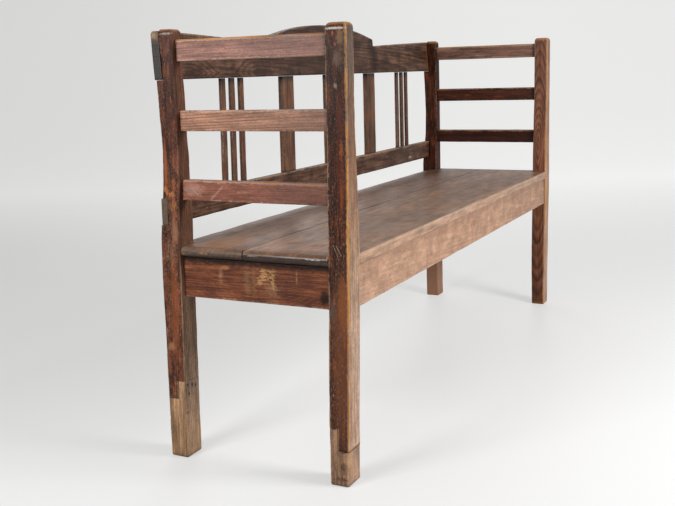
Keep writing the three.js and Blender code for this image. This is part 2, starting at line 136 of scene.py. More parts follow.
@dataclass
class Timber:
    """A length of wood: rings of a rounded rectangle carried along one axis and closed at both ends.

    The two axes across the wood are called a and b, in turning order after its own axis, so for an upright
    post they are X and Y. The corners go round from (high a, high b) towards (low a, high b).
    """

    node: str
    slot: str
    grain: Grain
    stations: Array
    faces: Array
    seed: int
    arris: Four = (2 * MM,) * 4
    arris_spread: float = 0.25
    corner_wear: Four = (1.0,) * 4
    pale_faces: Four = (0.0,) * 4
    end_wear: Pair = (0.0, 0.0)
    end_round: Pair = (0.6 * MM, 0.6 * MM)
    end_height: Pair | None = None
    end_share: tuple[Four, Four] = ((1.0,) * 4, (1.0,) * 4)
    step: float = 2.5 * MM
    swell: float = 0.3 * MM
    tooling: float = 0.08 * MM
    chips: tuple[Chip, ...] = ()
    ends: Callable[[Array, Array], tuple[Array, Array]] | None = None
    leaned: Callable[[Array], Array] | None = None
    rounded: Callable[[Array], Array] | None = None
    wear_reach: float = 5 * MM

    # Rings of a rounded end, steps of a corner, and the spacing of the rings that close an end, in steps.
    ROUND_RINGS = 4
    CORNER_STEPS = 4
    CLOSING_STEP = 1.5
    # How far from a pale face its paleness starts and stops fading.
    PALE_EASE = (0.6 * MM, 3.5 * MM)
    # The slow and quick waves of a corner's radius, the strength and level of its nicks, and its range.
    RADIUS_WAVES = (90 * MM, 14 * MM)
    NICKS = (0.7, 0.6)
    RADIUS_RANGE = (0.45, 2.6)
    WIDEST_RADIUS = 0.46
    # The waves of the swells and of the tooling, their stretch along the wood, middle and height.
    WEAR_WAVES = (70 * MM, 9 * MM)
    WEAR_STRETCH = 4.0
    WEAR_HEIGHT = (0.5, 0.35)

    @property
    def name(self) -> str:
        """Gives the name of the worn piece."""
        return f"worn_{self.node}"

    def rings(self) -> tuple[Array, Array, Array, Array]:
        """Adds the rings of both ends to those of the length.

        At an end the faces draw in along a quarter of an ellipse, and then close by shrinking in even steps.

        Returns:
            The place along, the faces, the size of the arris and the share of end grain, for each ring.
        """
        heights = self.end_height or self.end_round
        first, last = self.stations[0], self.stations[-1]
        inner = (self.stations > first + heights[0]) & (self.stations < last - heights[1])
        places, shapes = [self.stations[inner]], [self.faces[inner]]
        shrink, cap = [np.ones(inner.sum())], [np.zeros(inner.sum())]
        for end, (inset, height) in enumerate(zip(self.end_round, heights)):
            turn = np.linspace(0.0, QUARTER, self.ROUND_RINGS + 1)
            edge = last if end else first
            sign = 1.0 if end else -1.0
            along = edge - sign * height * (1.0 - np.sin(turn))
            drawn = inset * (1.0 - np.cos(turn))
            face = np.stack([np.interp(along, self.stations, self.faces[:, k]) for k in range(4)], axis=1)
            face = face + drawn[:, None] * np.array([1.0, -1.0, 1.0, -1.0]) * np.array(self.end_share[end])
            across = min(face[-1, 1] - face[-1, 0], face[-1, 3] - face[-1, 2])
            count = max(3, int(across / 2.0 / (self.CLOSING_STEP * self.step)))
            scale = np.linspace(1.0, 0.0, count + 1)[1:-1]
            middle = np.repeat(face[-1:, [0, 2]] + face[-1:, [1, 3]], 2, axis=1) / 2.0
            closing = middle + (face[-1:] - middle) * scale[:, None]
            block = (
                np.concatenate([along, np.full(len(scale), edge)]),
                np.concatenate([face, closing]),
                np.concatenate([np.ones(len(turn)), scale]),
                np.concatenate([np.sin(turn) ** 4, np.ones(len(scale))]),
            )
            for parts, piece in zip((places, shapes, shrink, cap), block):
                parts.insert(len(parts) if end else 0, piece if end else piece[::-1])
        return tuple(np.concatenate(parts) for parts in (places, shapes, shrink, cap))

    def section(self, faces: Array, radii: Array) -> Array:
        """Draws every ring: four quarter circles joined by four straight runs of evenly spaced points.

        Args:
            faces: Low a, high a, low b and high b of each ring.
            radii: The radius of each ring's four corners.

        Returns:
            Places a and b, as rings by points by 2.
        """
        widest = np.array([(faces[:, 1] - faces[:, 0]).max(), (faces[:, 3] - faces[:, 2]).max()])
        counts = np.maximum(1, np.round(widest / self.step).astype(int))
        turn = np.linspace(0.0, QUARTER, self.CORNER_STEPS + 1)
        arcs = []
        for corner, (sign_a, sign_b) in enumerate(((1, 1), (-1, 1), (-1, -1), (1, -1))):
            radius = radii[:, corner : corner + 1]
            middle_a = faces[:, 1:2] - radius if sign_a > 0 else faces[:, 0:1] + radius
            middle_b = faces[:, 3:4] - radius if sign_b > 0 else faces[:, 2:3] + radius
            angle = turn + corner * QUARTER
            arc = (middle_a + radius * np.cos(angle), middle_b + radius * np.sin(angle))
            arcs.append(np.stack(arc, axis=-1))
        runs = []
        for corner in range(4):
            start, end = arcs[corner][:, -1:], arcs[(corner + 1) % 4][:, :1]
            share = np.linspace(0.0, 1.0, counts[corner % 2] + 1)[1:-1][None, :, None]
            runs += [arcs[corner], start + (end - start) * share]
        return np.concatenate(runs, axis=1)

    def paled(self, flat: Array, faces: Array) -> Array:
        """Gives how much each point belongs to the faces that are pale, easing off over a few millimetres.

        Args:
            flat: Places a and b of the rings' points.
            faces: Low a, high a, low b and high b of each ring.

        Returns:
            From 0 to 1 for each point.
        """
        a, b = flat[..., 0], flat[..., 1]
        away = (a - faces[:, 0:1], faces[:, 1:2] - a, b - faces[:, 2:3], faces[:, 3:4] - b)
        eased = [1.0 - smooth_share(gap, *self.PALE_EASE) for gap in away]
        return np.max([weight * share for weight, share in zip(self.pale_faces, eased)], axis=0)

    def surface(self) -> tuple[Array, Array, Array, Array]:
        """Works out the wood's surface with its wear.

        The radius of each corner wanders with noise along the wood. Then every point sinks a little along its
        normal, by long swells, short tooling and the chips, never outwards, so the wood keeps its size.

        Returns:
            Points as rings by points by 3, the wear of the arrises, the share of end grain and the paleness.
        """
        along, faces, shrink, cap = self.rings()
        axis, first, second = self.grain.value
        middles = np.zeros((len(along), 3))
        middles[:, axis] = along
        middles[:, first] = (faces[:, 0] + faces[:, 1]) / 2.0
        middles[:, second] = (faces[:, 2] + faces[:, 3]) / 2.0
        radii = self.radii(along, faces, shrink, middles)
        flat = self.section(faces, radii)
        points = np.zeros(flat.shape[:2] + (3,))
        points[..., first], points[..., second] = flat[..., 0], flat[..., 1]
        points[..., axis] = along[:, None]
        if self.ends:
            low, high = self.ends(points[..., first], points[..., second])
            share = (along[:, None] - along[0]) / (along[-1] - along[0])
            points[..., axis] = low + (high - low) * share
        if self.leaned:
            points = self.leaned(points)
        worn = self.wear(points, flat, faces, shrink, cap)
        return points, worn, np.repeat(cap[:, None], flat.shape[1], axis=1), self.paled(flat, faces)

    def radii(self, along: Array, faces: Array, shrink: Array, middles: Array) -> Array:
        """Gives the corners' radii: each one's own times one plus slow noise and quick nicks.

        Args:
            along: Each ring's place along the wood.
            faces: Low a, high a, low b and high b of each ring.
            shrink: How far each ring has shrunk, from 1 to 0.
            middles: Each ring's middle.

        Returns:
            Rings by four corners.
        """
        radii = np.zeros((len(along), 4))
        strength, level = self.NICKS
        for corner, size in enumerate(self.arris):
            slow = Ripple(self.seed + 11 * corner, self.RADIUS_WAVES[0])(middles)
            quick = Ripple(self.seed + 11 * corner + 5, self.RADIUS_WAVES[1])(middles)
            wander = 1.0 + self.arris_spread * (slow + strength * np.maximum(0.0, quick - level))
            radii[:, corner] = size * np.clip(wander, *self.RADIUS_RANGE)
        if self.rounded:
            radii = radii + self.rounded(along)
        limit = self.WIDEST_RADIUS * np.minimum(faces[:, 1] - faces[:, 0], faces[:, 3] - faces[:, 2])
        return np.minimum(radii * shrink[:, None], limit[:, None])

    def wear(self, points: Array, flat: Array, faces: Array, shrink: Array, cap: Array) -> Array:
        """Gives the wear, which falls off from each corner and each end as exp of minus the squared distance.

        Args:
            points: Places in metres, with X, Y and Z in the last axis.
            flat: Places a and b of the rings' points.
            faces: Low a, high a, low b and high b of each ring.
            shrink: How far each ring has shrunk, from 1 to 0.
            cap: Each ring's share of end grain.

        Returns:
            From 0 to about 1 for each point.
        """
        worn = np.zeros(flat.shape[:2])
        corners = ((1, 3), (0, 3), (0, 2), (1, 2))
        for (face_a, face_b), weight in zip(corners, self.corner_wear):
            away_a, away_b = flat[..., 0] - faces[:, face_a, None], flat[..., 1] - faces[:, face_b, None]
            near = np.exp(-(away_a**2 + away_b**2) / self.wear_reach**2)
            worn = np.maximum(worn, weight * near * (1.0 - cap[:, None]))
        rim = np.abs(flat - flat.mean(1, keepdims=True)).max(-1)
        share = smooth_share(rim / rim.max(1, keepdims=True).clip(1e-9), 0.0, 1.0) * shrink[:, None]
        axis = self.grain.value[0]
        for end, weight in enumerate(self.end_wear):
            away = points[..., axis] - points[-1 if end else 0, :, axis].mean()
            worn = np.maximum(worn, weight * np.exp(-(away**2) / self.wear_reach**2) * share)
        return worn

    def sunk(self, points: Array, worn: Array) -> Array:
        """Moves the points inwards along their normals by the wear.

        Args:
            points: Rings by points by 3.
            worn: The wear of the arrises.

        Returns:
            The moved points.
        """
        along = np.gradient(points, axis=0)
        around = np.roll(points, -1, axis=1) - np.roll(points, 1, axis=1)
        normals = np.cross(around, along)
        normals /= np.linalg.norm(normals, axis=-1, keepdims=True).clip(1e-12)
        stretch = self.grain.stretched(self.WEAR_STRETCH, 1.0)
        middle, height = self.WEAR_HEIGHT
        swell, tooling = (
            np.clip(middle + height * Ripple(self.seed + order, wave, stretch)(points), 0, 1.2)
            for order, wave in enumerate(self.WEAR_WAVES, start=1)
        )
        depth = self.swell * swell + self.tooling * tooling * (1.0 + 2.0 * worn)
        for chip in self.chips:
            depth = depth + chip.sink(points)
        return points - normals * depth[..., None]

    def build(self) -> bpy.types.Object:
        """Makes the mesh: the rings as a grid of four-sided faces, and a fan of triangles at each end.

        Returns:
            The object, which stands for its node and rides on the root body.
        """
        raw, worn, cap, pale = self.surface()
        points = self.sunk(raw, worn)
        count, size = points.shape[:2]
        poles = np.stack([points[0].mean(0), points[-1].mean(0)])
        vertices = np.concatenate([points.reshape(-1, 3), poles])
        ring, spot = np.meshgrid(np.arange(count - 1), np.arange(size), indexing="ij")
        following = (spot + 1) % size
        near, far = ring * size, (ring + 1) * size
        quads = np.stack([near + spot, near + following, far + following, far + spot], -1).reshape(-1, 4)
        spots = np.arange(size)
        turned = (spots + 1) % size
        start = np.stack([np.full(size, count * size), turned, spots], -1)
        last = (count - 1) * size
        end = np.stack([np.full(size, count * size + 1), last + spots, last + turned], -1)
        loops = np.concatenate([quads.ravel(), start.ravel(), end.ravel()]).astype(np.int32)
        sizes = np.concatenate([np.full(len(quads), 4), np.full(2 * size, 3)]).astype(np.int32)
        mesh = bpy.data.meshes.new(self.name)
        mesh.vertices.add(len(vertices))
        mesh.vertices.foreach_set("co", vertices.astype(np.float32).ravel())
        mesh.loops.add(len(loops))
        mesh.loops.foreach_set("vertex_index", loops)
        mesh.polygons.add(len(sizes))
        mesh.polygons.foreach_set("loop_start", np.concatenate([[0], np.cumsum(sizes)[:-1]]).astype(np.int32))
        mesh.update(calc_edges=True)
        mesh.validate()
        mesh.shade_smooth()
        for label, values in (("worn", worn), ("endgrain", cap), ("pale", pale)):
            attribute = mesh.attributes.new(label, "FLOAT", "POINT")
            ends = [values[0].mean(), values[-1].mean()]
            attribute.data.foreach_set("value", np.concatenate([values.ravel(), ends]).astype(np.float32))
        made = placed(self.name, mesh)
        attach(made, "root")
        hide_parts(self.node)
        return made


def spaced(
    low: float, high: float, step: float, steps_at: Iterable[float] = (), gap: float = 0.1 * MM
) -> Array:
    """Spaces stations evenly from low to high, with close pairs where the shape steps.

    Args:
        low: The first station.
        high: The last one.
        step: The usual distance between stations.
        steps_at: Places of steps, each of which gets stations just before and after it.
        gap: The distance of those from the step.

    Returns:
        The stations in rising order.
    """
    even = np.linspace(low, high, max(2, int(round((high - low) / step)) + 1))
    close = [place + side * reach for place in steps_at for side in (-1, 1) for reach in (gap, 8 * gap)]
    return np.unique(np.concatenate([even, np.array(close)])) if close else even


def placed(name: str, data: bpy.types.ID) -> bpy.types.Object:
    """Makes an object of data and puts it into the scene.

    Args:
        name: Its name.
        data: A mesh, a lamp or a camera.

    Returns:
        The object.
    """
    made = bpy.data.objects.new(name, data)
    bpy.context.scene.collection.objects.link(made)
    return made


def straight_faces(stations: Array, low_a: float, high_a: float, low_b: float, high_b: float) -> Array:
    """Gives the same four faces for every station."""
    return np.tile(np.array([low_a, high_a, low_b, high_b], float), (len(stations), 1))


# Shader maths


class Shade:
    """A socket of a material, on which arithmetic adds Math nodes."""

    def __init__(self, tree: "Tree", socket: bpy.types.NodeSocket) -> None:
        """Keeps the socket and the tree that it belongs to."""
        self.tree = tree
        self.socket = socket

    def math(self, operation: str, *others: "Shade | float", clamp: bool = False) -> "Shade":
        """Adds a Math node with this value first.

        Args:
            operation: The node's operation.
            others: The node's further values.
            clamp: Whether the result is kept from 0 to 1.

        Returns:
            The result.
        """
        links = dict(enumerate((self, *others)))
        return self.tree.node("ShaderNodeMath", {"operation": operation, "use_clamp": clamp}, links)

    def __add__(self, other: "Shade | float") -> "Shade":
        """Adds."""
        return self.math("ADD", other)

    def __sub__(self, other: "Shade | float") -> "Shade":
        """Takes the other away."""
        return self.math("SUBTRACT", other)

    def __rsub__(self, other: float) -> "Shade":
        """Takes this away from a number."""
        return self.tree.node("ShaderNodeMath", {"operation": "SUBTRACT"}, {0: other, 1: self})

    def __mul__(self, other: "Shade | float") -> "Shade":
        """Multiplies."""
        return self.math("MULTIPLY", other)

    def __truediv__(self, other: "Shade | float") -> "Shade":
        """Divides by the other."""
        return self.math("DIVIDE", other)

    def __pow__(self, other: float) -> "Shade":
        """Raises to a power."""
        return self.math("POWER", other)

    def clamped(self) -> "Shade":
        """Keeps the value from 0 to 1."""
        return self.math("ADD", 0.0, clamp=True)

    def rising(self, low: float, high: float) -> "Shade":
        """Eases from 0 at low to 1 at high."""
        links = {"Value": self, "From Min": low, "From Max": high}
        return self.tree.node("ShaderNodeMapRange", {"interpolation_type": "SMOOTHSTEP"}, links)


class Tree:
    """The nodes of one material."""

    def __init__(self, name: str) -> None:
        """Starts a material with only its shader and its output.

        Args:
            name: The material's name.
        """
        self.material = bpy.data.materials.new(name)
        self.material.use_nodes = True
        self.nodes = self.material.node_tree.nodes
        self.links = self.material.node_tree.links
        self.nodes.clear()
        self.shader = self.nodes.new("ShaderNodeBsdfPrincipled")
        output = self.nodes.new("ShaderNodeOutputMaterial")
        self.links.new(self.shader.outputs[0], output.inputs["Surface"])

    def node(self, kind: str, settings: dict, links: dict, output: int | str = 0) -> Shade:
        """Adds any node.

        Args:
            kind: The node's type.
            settings: Its settings, which are set first; "stops" are a ramp's places and colours.
            links: The values or sockets of its inputs, by name or place.
            output: The output to return.

        Returns:
            That output.
        """
        made = self.nodes.new(kind)
        for key, value in settings.items():
            if key == "stops":
                self.set_stops(made.color_ramp, value)
            else:
                setattr(made, key, value)
        for key, value in links.items():
            self.feed(made.inputs[key], value)
        return Shade(self, made.outputs[output])

    def dress(self, values: dict[str, "Shade | float | tuple"]) -> None:
        """Feeds inputs of the shader by their names."""
        for name, value in values.items():
            self.feed(self.shader.inputs[name], value)

    @staticmethod
    def set_stops(ramp: bpy.types.ColorRamp, stops: list[tuple[float, Place]]) -> None:
        """Gives a ramp its places and colours.

        Args:
            ramp: The ramp of a Color Ramp node.
            stops: Places from 0 to 1, each with its colour.
        """
        while len(ramp.elements) < len(stops):
            ramp.elements.new(1.0)
        for element, (place, colour) in zip(ramp.elements, stops):
            element.position = place
            element.color = (*colour, 1.0)

    def feed(self, socket: bpy.types.NodeSocket, value: "Shade | float | tuple") -> None:
        """Links a socket, or sets its value.

        Args:
            socket: The input.
            value: A result to link, or a number or colour to set.
        """
        if isinstance(value, Shade):
            self.links.new(value.socket, socket)
        elif isinstance(value, tuple) and socket.type == "RGBA":
            socket.default_value = (*value[:3], 1.0)
        else:
            socket.default_value = value

    def vector(self, operation: str, *values: "Shade | Place") -> Shade:
        """Adds a Vector Math node; a length or a product of two vectors comes out as a value."""
        output = 1 if operation in ("LENGTH", "DOT_PRODUCT") else 0
        return self.node("ShaderNodeVectorMath", {"operation": operation}, dict(enumerate(values)), output)

    def distance(self, place: Shade, at: Place, size: Place) -> Shade:
        """Measures how far a place is from another one, with each axis in sizes."""
        inverse = tuple(1.0 / part for part in size)
        return self.vector("LENGTH", self.vector("MULTIPLY", self.vector("SUBTRACT", place, at), inverse))

    def noise(self, place: Shade, scale: Place, detail: float = 2.0, roughness: float = 0.5) -> Shade:
        """Reads noise at a place that is scaled along each axis; it is about 0.5 on average.

        Args:
            place: The place.
            scale: Features per metre along each axis.
            detail: How many finer layers it has.
            roughness: How strong the finer layers are.

        Returns:
            The noise.
        """
        scaled = self.vector("MULTIPLY", place, scale)
        links = {"Vector": scaled, "Scale": 1.0, "Detail": detail, "Roughness": roughness}
        return self.node("ShaderNodeTexNoise", {}, links)

    def split(self, value: Shade) -> list[Shade]:
        """Splits a vector into its three parts.

        Args:
            value: The vector.

        Returns:
            X, Y and Z.
        """
        made = self.nodes.new("ShaderNodeSeparateXYZ")
        self.feed(made.inputs[0], value)
        return [Shade(self, made.outputs[k]) for k in range(3)]

    def mix(
        self, share: "Shade | float", first: "Shade | Place", second: "Shade | Place", blend: str = "MIX"
    ) -> Shade:
        """Mixes two colours."""
        links = {0: share, 6: first, 7: second}
        return self.node("ShaderNodeMix", {"data_type": "RGBA", "blend_type": blend}, links, 2)

    def attribute(self, name: str) -> Shade:
        """Reads a value that is kept at the mesh's points."""
        return self.node("ShaderNodeAttribute", {"attribute_name": name}, {}, "Fac")


def tone(code: str) -> Place:
    """Turns a colour written as six hexadecimal figures into the linear values of a shader.

    Args:
        code: The six figures, without a sign before them.

    Returns:
        Red, green and blue.
    """
    parts = [int(code[place : place + 2], 16) / 255.0 for place in (0, 2, 4)]
    linear = [part / 12.92 if part <= 0.04045 else ((part + 0.055) / 1.055) ** 2.4 for part in parts]
    return (linear[0], linear[1], linear[2])


# Finishes


class Mark:
    """A mark of another tone at a place of its own; each kind says how far away a point is from it."""

    colour: str
    strength: float

    def spread(self, tree: Tree, place: Shade, noise: Shade) -> tuple[Shade, float, float]:
        """Gives the distance from the mark, and where its tone starts and stops fading."""
        raise NotImplementedError

    def lay(self, tree: Tree, place: Shade, noise: Shade, colour: Shade) -> tuple[Shade, Shade]:
        """Paints the mark.

        Args:
            tree: The material's nodes.
            place: Object coordinates.
            noise: A noise from 0 to 1 that makes the rim ragged.
            colour: The colour below.

        Returns:
            The new colour and the mark's mask.
        """
        away, low, high = self.spread(tree, place, noise)
        mask = (1.0 - away.rising(low, high)) * self.strength
        return tree.mix(mask, colour, tone(self.colour)), mask


@dataclass(frozen=True)
class Stain(Mark):
    """A patch of another colour: an ellipsoid round a place, with a ragged rim."""

    at: Place
    size: Place
    colour: str
    strength: float = 0.8
    ragged: float = 0.5
    rim: float = 0.35

    def spread(self, tree: Tree, place: Shade, noise: Shade) -> tuple[Shade, float, float]:
        """Measures from the middle, with each axis in sizes, so that the patch ends about 1 away."""
        away = tree.distance(place, self.at, self.size) + (noise - 0.5) * (2.0 * self.ragged)
        return away, 1.0 - self.rim, 1.0 + self.rim


@dataclass(frozen=True)
class CrackAndShadeLine(Mark):
    """A line between two places, as wide as given and a little wavy; it draws cracks, joints and scratches,
    and also lines of painted shade.
    """

    start: Place
    end: Place
    width: float
    colour: str = "120b08"
    strength: float = 0.9
    wander: float = 1.5 * MM

    def spread(self, tree: Tree, place: Shade, noise: Shade) -> tuple[Shade, float, float]:
        """Measures from the nearest place between the line's two ends.

        Args:
            tree: The material's nodes.
            place: Object coordinates.
            noise: A noise from 0 to 1 that makes the rim ragged.

        Returns:
            The distance, and the two distances between which the tone fades.
        """
        run = tuple(b - a for a, b in zip(self.start, self.end))
        offset = tree.vector("SUBTRACT", place, self.start)
        share = (tree.vector("DOT_PRODUCT", offset, run) / sum(part * part for part in run)).clamped()
        nearest = tree.node("ShaderNodeVectorMath", {"operation": "SCALE"}, {0: run, "Scale": share})
        away = tree.vector("LENGTH", tree.vector("SUBTRACT", offset, nearest))
        return away + (noise - 0.5) * self.wander, 0.25 * self.width, 0.75 * self.width


@dataclass(frozen=True)
class Band(Mark):
    """A tone that fades away from a plane across one axis; it paints shade in corners and along joints, and
    also real tones of the wood, such as worn feet.
    """

    axis: int
    at: float
    reach: float
    colour: str = "120b08"
    strength: float = 0.7

    def spread(self, tree: Tree, place: Shade, noise: Shade) -> tuple[Shade, float, float]:
        """Measures from the plane."""
        away = (tree.split(place)[self.axis] - self.at).math("ABSOLUTE") + (noise - 0.5) * (0.6 * self.reach)
        return away, 0.1 * self.reach, self.reach


def stains(axis: int, at: float, reach: float, rows: Iterable[tuple]) -> tuple[Stain, ...]:
    """Makes the stains on a face across one axis, where they all have the same place and size.

    Args:
        axis: The axis across the face: 0 for X, 1 for Y.
        at: The face's place on that axis.
        reach: The stains' size along it.
        rows: The other two places and sizes, then the rest of a stain.

    Returns:
        The stains.
    """
    made = []
    for first, second, wide, high, *rest in rows:
        place, size = [first, second], [wide, high]
        place.insert(axis, at)
        size.insert(axis, reach)
        made.append(Stain(tuple(place), tuple(size), *rest))
    return tuple(made)


@dataclass(frozen=True)
class Knot:
    """A place round which the growth rings close: an ellipsoid, and how many rings it holds."""

    at: Place
    size: Place
    turns: float


@dataclass(frozen=True)
class Texture:
    """A noise stretched along the wood: features per metre along and across it, detail and roughness."""

    along: float
    across: float
    detail: float
    roughness: float

    def read(self, tree: Tree, place: Shade, grain: Grain) -> Shade:
        """Reads the noise at a place."""
        return tree.noise(place, grain.stretched(self.along, self.across), self.detail, self.roughness)


PATINA = Texture(16.0, 48.0, 5.0, 0.62)
FIBRES = Texture(12.0, 430.0, 2.0, 0.6)
RAGGED = Texture(110.0, 260.0, 3.0, 0.6)
GRIT = Texture(150.0, 340.0, 3.0, 0.72)
UNEVEN = Texture(14.0, 24.0, 4.0, 0.7)


@dataclass(frozen=True)
class Patch:
    """Patches or specks of another tone, wherever a noise is above a level, stretched along the wood."""

    colour: str
    along: float
    across: float
    level: float = 0.58
    blur: float = 0.08
    strength: float = 0.6
    seed: float = 0.0

    def lay(self, tree: Tree, place: Shade, grain: Grain, colour: Shade) -> Shade:
        """Paints the patches, whose usual length and width are given in metres.

        Args:
            tree: The material's nodes.
            place: Object coordinates.
            grain: The axis of the wood.
            colour: The colour below.

        Returns:
            The new colour.
        """
        moved = tree.vector("ADD", place, (self.seed, 1.7 * self.seed, 2.3 * self.seed))
        noise = Texture(1.0 / self.along, 1.0 / self.across, 4.0, 0.62).read(tree, moved, grain)
        mask = noise.rising(self.level - self.blur, self.level + self.blur) * self.strength
        return tree.mix(mask, colour, tone(self.colour))


@dataclass(frozen=True)
class WoodFinish:
    """An aged wood: fibres along the grain, growth rings about a pith, patina, worn arrises and marks.

    The pith is a line nearly along the wood, given by where it passes the piece's middle across and how far
    it leans, so that the rings make straight lines on quartered faces and long arches on flat ones. The pale
    tones are those of a face that light and hands have bleached, by height.
    """

    middle: str
    spread: float = 0.35
    mottle: float = 0.4
    fibre: float = 0.4
    late: str = "2c1810"
    bare: str = "b98550"
    rim: str = "cbb39c"
    end: str = "8a6a50"
    end_contrast: float = 0.5
    end_gloss: float = 0.0
    pale: tuple[tuple[float, str], ...] = ((0.0, "be9f8b"), (1.0, "9b735b"))
    pith: Pair = (0.05, 0.03)
    lean: Pair = (0.02, 0.03)
    ring_width: float = 5 * MM
    ring_strength: float = 0.45
    ring_wave: float = 4 * MM
    streak_length: float = 0.4
    wear: float = 0.8
    wear_level: float = 0.5
    roughness: float = 0.5
    specular: float = 0.25
    relief: float = 0.4 * MM
    grit: float = 0.3
    patches: tuple[Patch, ...] = ()
    knots: tuple[Knot, ...] = ()
    marks: tuple[Mark, ...] = ()

    @staticmethod
    def tinted(colour: str, amount: float) -> Place:
        """Gives a tone times an amount, a little warmer where it grows and cooler where it shrinks."""
        red, green, blue = tone(colour)
        return (red * amount, green * amount**1.05, blue * amount**1.12)


@dataclass
class WoodPaint:
    """Turns a finish into a material for one timber."""

    finish: WoodFinish
    timber: Timber
    tree: Tree = field(init=False)

    # Places of the fibres' tones in their noise, and how far each tone is from the middle one.
    TONES = ((0.36, -1.2), (0.44, -0.5), (0.5, 0.0), (0.56, 0.5), (0.66, 1.3))
    # The fibres that run in broad and in narrow streaks, across the wood and against the length of a streak.
    BROAD, NARROW = (1.0, 45.0), (2.5, 240.0)
    # The noise that bends the rings, where a ring's late wood deepens and ends, and how the rings differ.
    BEND = Texture(2.5, 12.0, 1.0, 0.5)
    BEND_SHIFT = (7.1, 3.3, 5.7)
    LATE_RISE, LATE_END = (0.15, 0.75), (0.82, 1.0)
    RING_PERIOD, FAINTEST = 0.37, 0.4
    # How strongly a bleached face covers the wood, and the rims and widths of bare and pale arrises.
    BLEACHED = 0.88
    RIM_WIDTH, RIM_BLUR, RIM_STRENGTH = 0.3, 0.18, 0.35
    # How the noises share in the relief, and how deep the lines of cracks and of painted shade sink beside
    # them.
    RING_RELIEF, FIBRE_RELIEF, GRIT_RELIEF, DENT_RELIEF, CRACK_RELIEF = 0.35, 0.5, 0.5, 0.3, 1.6
    BUMP_STRENGTH, CAP_SMOOTHNESS = 0.7, 0.92
    # How much dents, the fibres and bare wood change the roughness.
    GLOSS = (0.3, 0.15, 0.08)
    # The spans of a noise over which patina, grit, fibres and the shades of a bleached face grow lighter.
    AGED, GRITTY, FIBROUS = (0.3, 0.7), (0.3, 0.7), (0.32, 0.6)
    FADED, STREAKED = (0.32, 0.66), (0.35, 0.6)
    # The wear level: how steeply the dents let the wear through, from where, and how ragged its edge is.
    WEAR_GAIN, WEAR_START, WEAR_RAG, EDGE_GRIT = 3.4, 0.75, 0.6, 0.9
    # Bare wood starts a little before the level and is full beyond it; between its fibres it is darker.
    BARE_EARLY, BARE_FULL, BARE_FIBRES, BARE_DARK = 0.05, 0.2, (0.38, 0.6), 0.62

    def __post_init__(self) -> None:
        """Starts the material."""
        self.tree = Tree(f"{self.timber.name}_wood")

    def rings(self, place: Shade) -> Shade:
        """Draws growth rings: the distance from the pith, bent by noise, cut into turns of uneven strength.

        Args:
            place: Object coordinates.

        Returns:
            The share of dark late wood, from 0 to 1.
        """
        look, tree, grain = self.finish, self.tree, self.timber.grain
        axis, first, second = grain.value
        faces = self.timber.faces
        middle = [0.0, 0.0, 0.0]
        middle[axis] = float(self.timber.stations.mean())
        middle[first] = float((faces[:, 0] + faces[:, 1]).mean() / 2.0) + look.pith[0]
        middle[second] = float((faces[:, 2] + faces[:, 3]).mean() / 2.0) + look.pith[1]
        split = tree.split(tree.vector("SUBTRACT", place, tuple(middle)))
        bends = []
        for moved in (place, tree.vector("ADD", place, self.BEND_SHIFT)):
            bends.append((self.BEND.read(tree, moved, grain) - 0.5) * (2.0 * look.ring_wave))
        across_a = split[first] + split[axis] * look.lean[0] + bends[0]
        across_b = split[second] + split[axis] * look.lean[1] + bends[1]
        away = (across_a * across_a + across_b * across_b) ** 0.5 / look.ring_width
        for knot in look.knots:
            near = tree.distance(place, knot.at, knot.size)
            away = away + (1.0 - near.rising(0.0, 1.0)) * knot.turns
        turn = away.math("FRACT")
        uneven = (away * self.RING_PERIOD).math("FRACT") * (1.0 - self.FAINTEST) + self.FAINTEST
        return turn.rising(*self.LATE_RISE) * (1.0 - turn.rising(*self.LATE_END)) * uneven

    def wood(self, seeded: Shade, ring: Shade, place: Shade, fine: Shade) -> Shade:
        """Paints the wood itself: fibres and patina between dark and light tones, patches, pale faces, rings.

        Args:
            seeded: Object coordinates moved by the timber's seed.
            ring: The share of late wood.
            place: Object coordinates.
            fine: The noise of the fibres.

        Returns:
            The colour.
        """
        look, tree, grain = self.finish, self.tree, self.timber.grain
        broad, narrow = (
            Texture(share / look.streak_length, across, 1.0, 0.4).read(tree, seeded, grain)
            for share, across in (self.BROAD, self.NARROW)
        )
        patina = PATINA.read(tree, seeded, grain)
        stops = [(at, look.tinted(look.middle, 1.0 + look.spread * amount)) for at, amount in self.TONES]
        colour = tree.node("ShaderNodeValToRGB", {"stops": stops}, {0: broad * 0.5 + narrow * 0.5})
        aged = patina.rising(*self.AGED) * (1.4 * look.mottle) + (1.0 - 0.7 * look.mottle)
        colour = self.shaded(colour, aged)
        for patch in look.patches:
            colour = patch.lay(tree, seeded, grain, colour)
        height = tree.split(place)[2]
        tones = [(at, tone(code)) for at, code in look.pale]
        bleached = tree.node("ShaderNodeValToRGB", {"stops": tones}, {0: height})
        faded = patina.rising(*self.FADED) * 0.5 + narrow.rising(*self.STREAKED) * 0.2 + 0.62
        colour = tree.mix(tree.attribute("pale") * self.BLEACHED, colour, self.shaded(bleached, faded))
        colour = tree.mix(ring * look.ring_strength, colour, tree.mix(0.75, colour, tone(look.late)))
        return self.shaded(colour, fine.rising(*self.FIBROUS) * look.fibre + (1.0 - 0.7 * look.fibre))

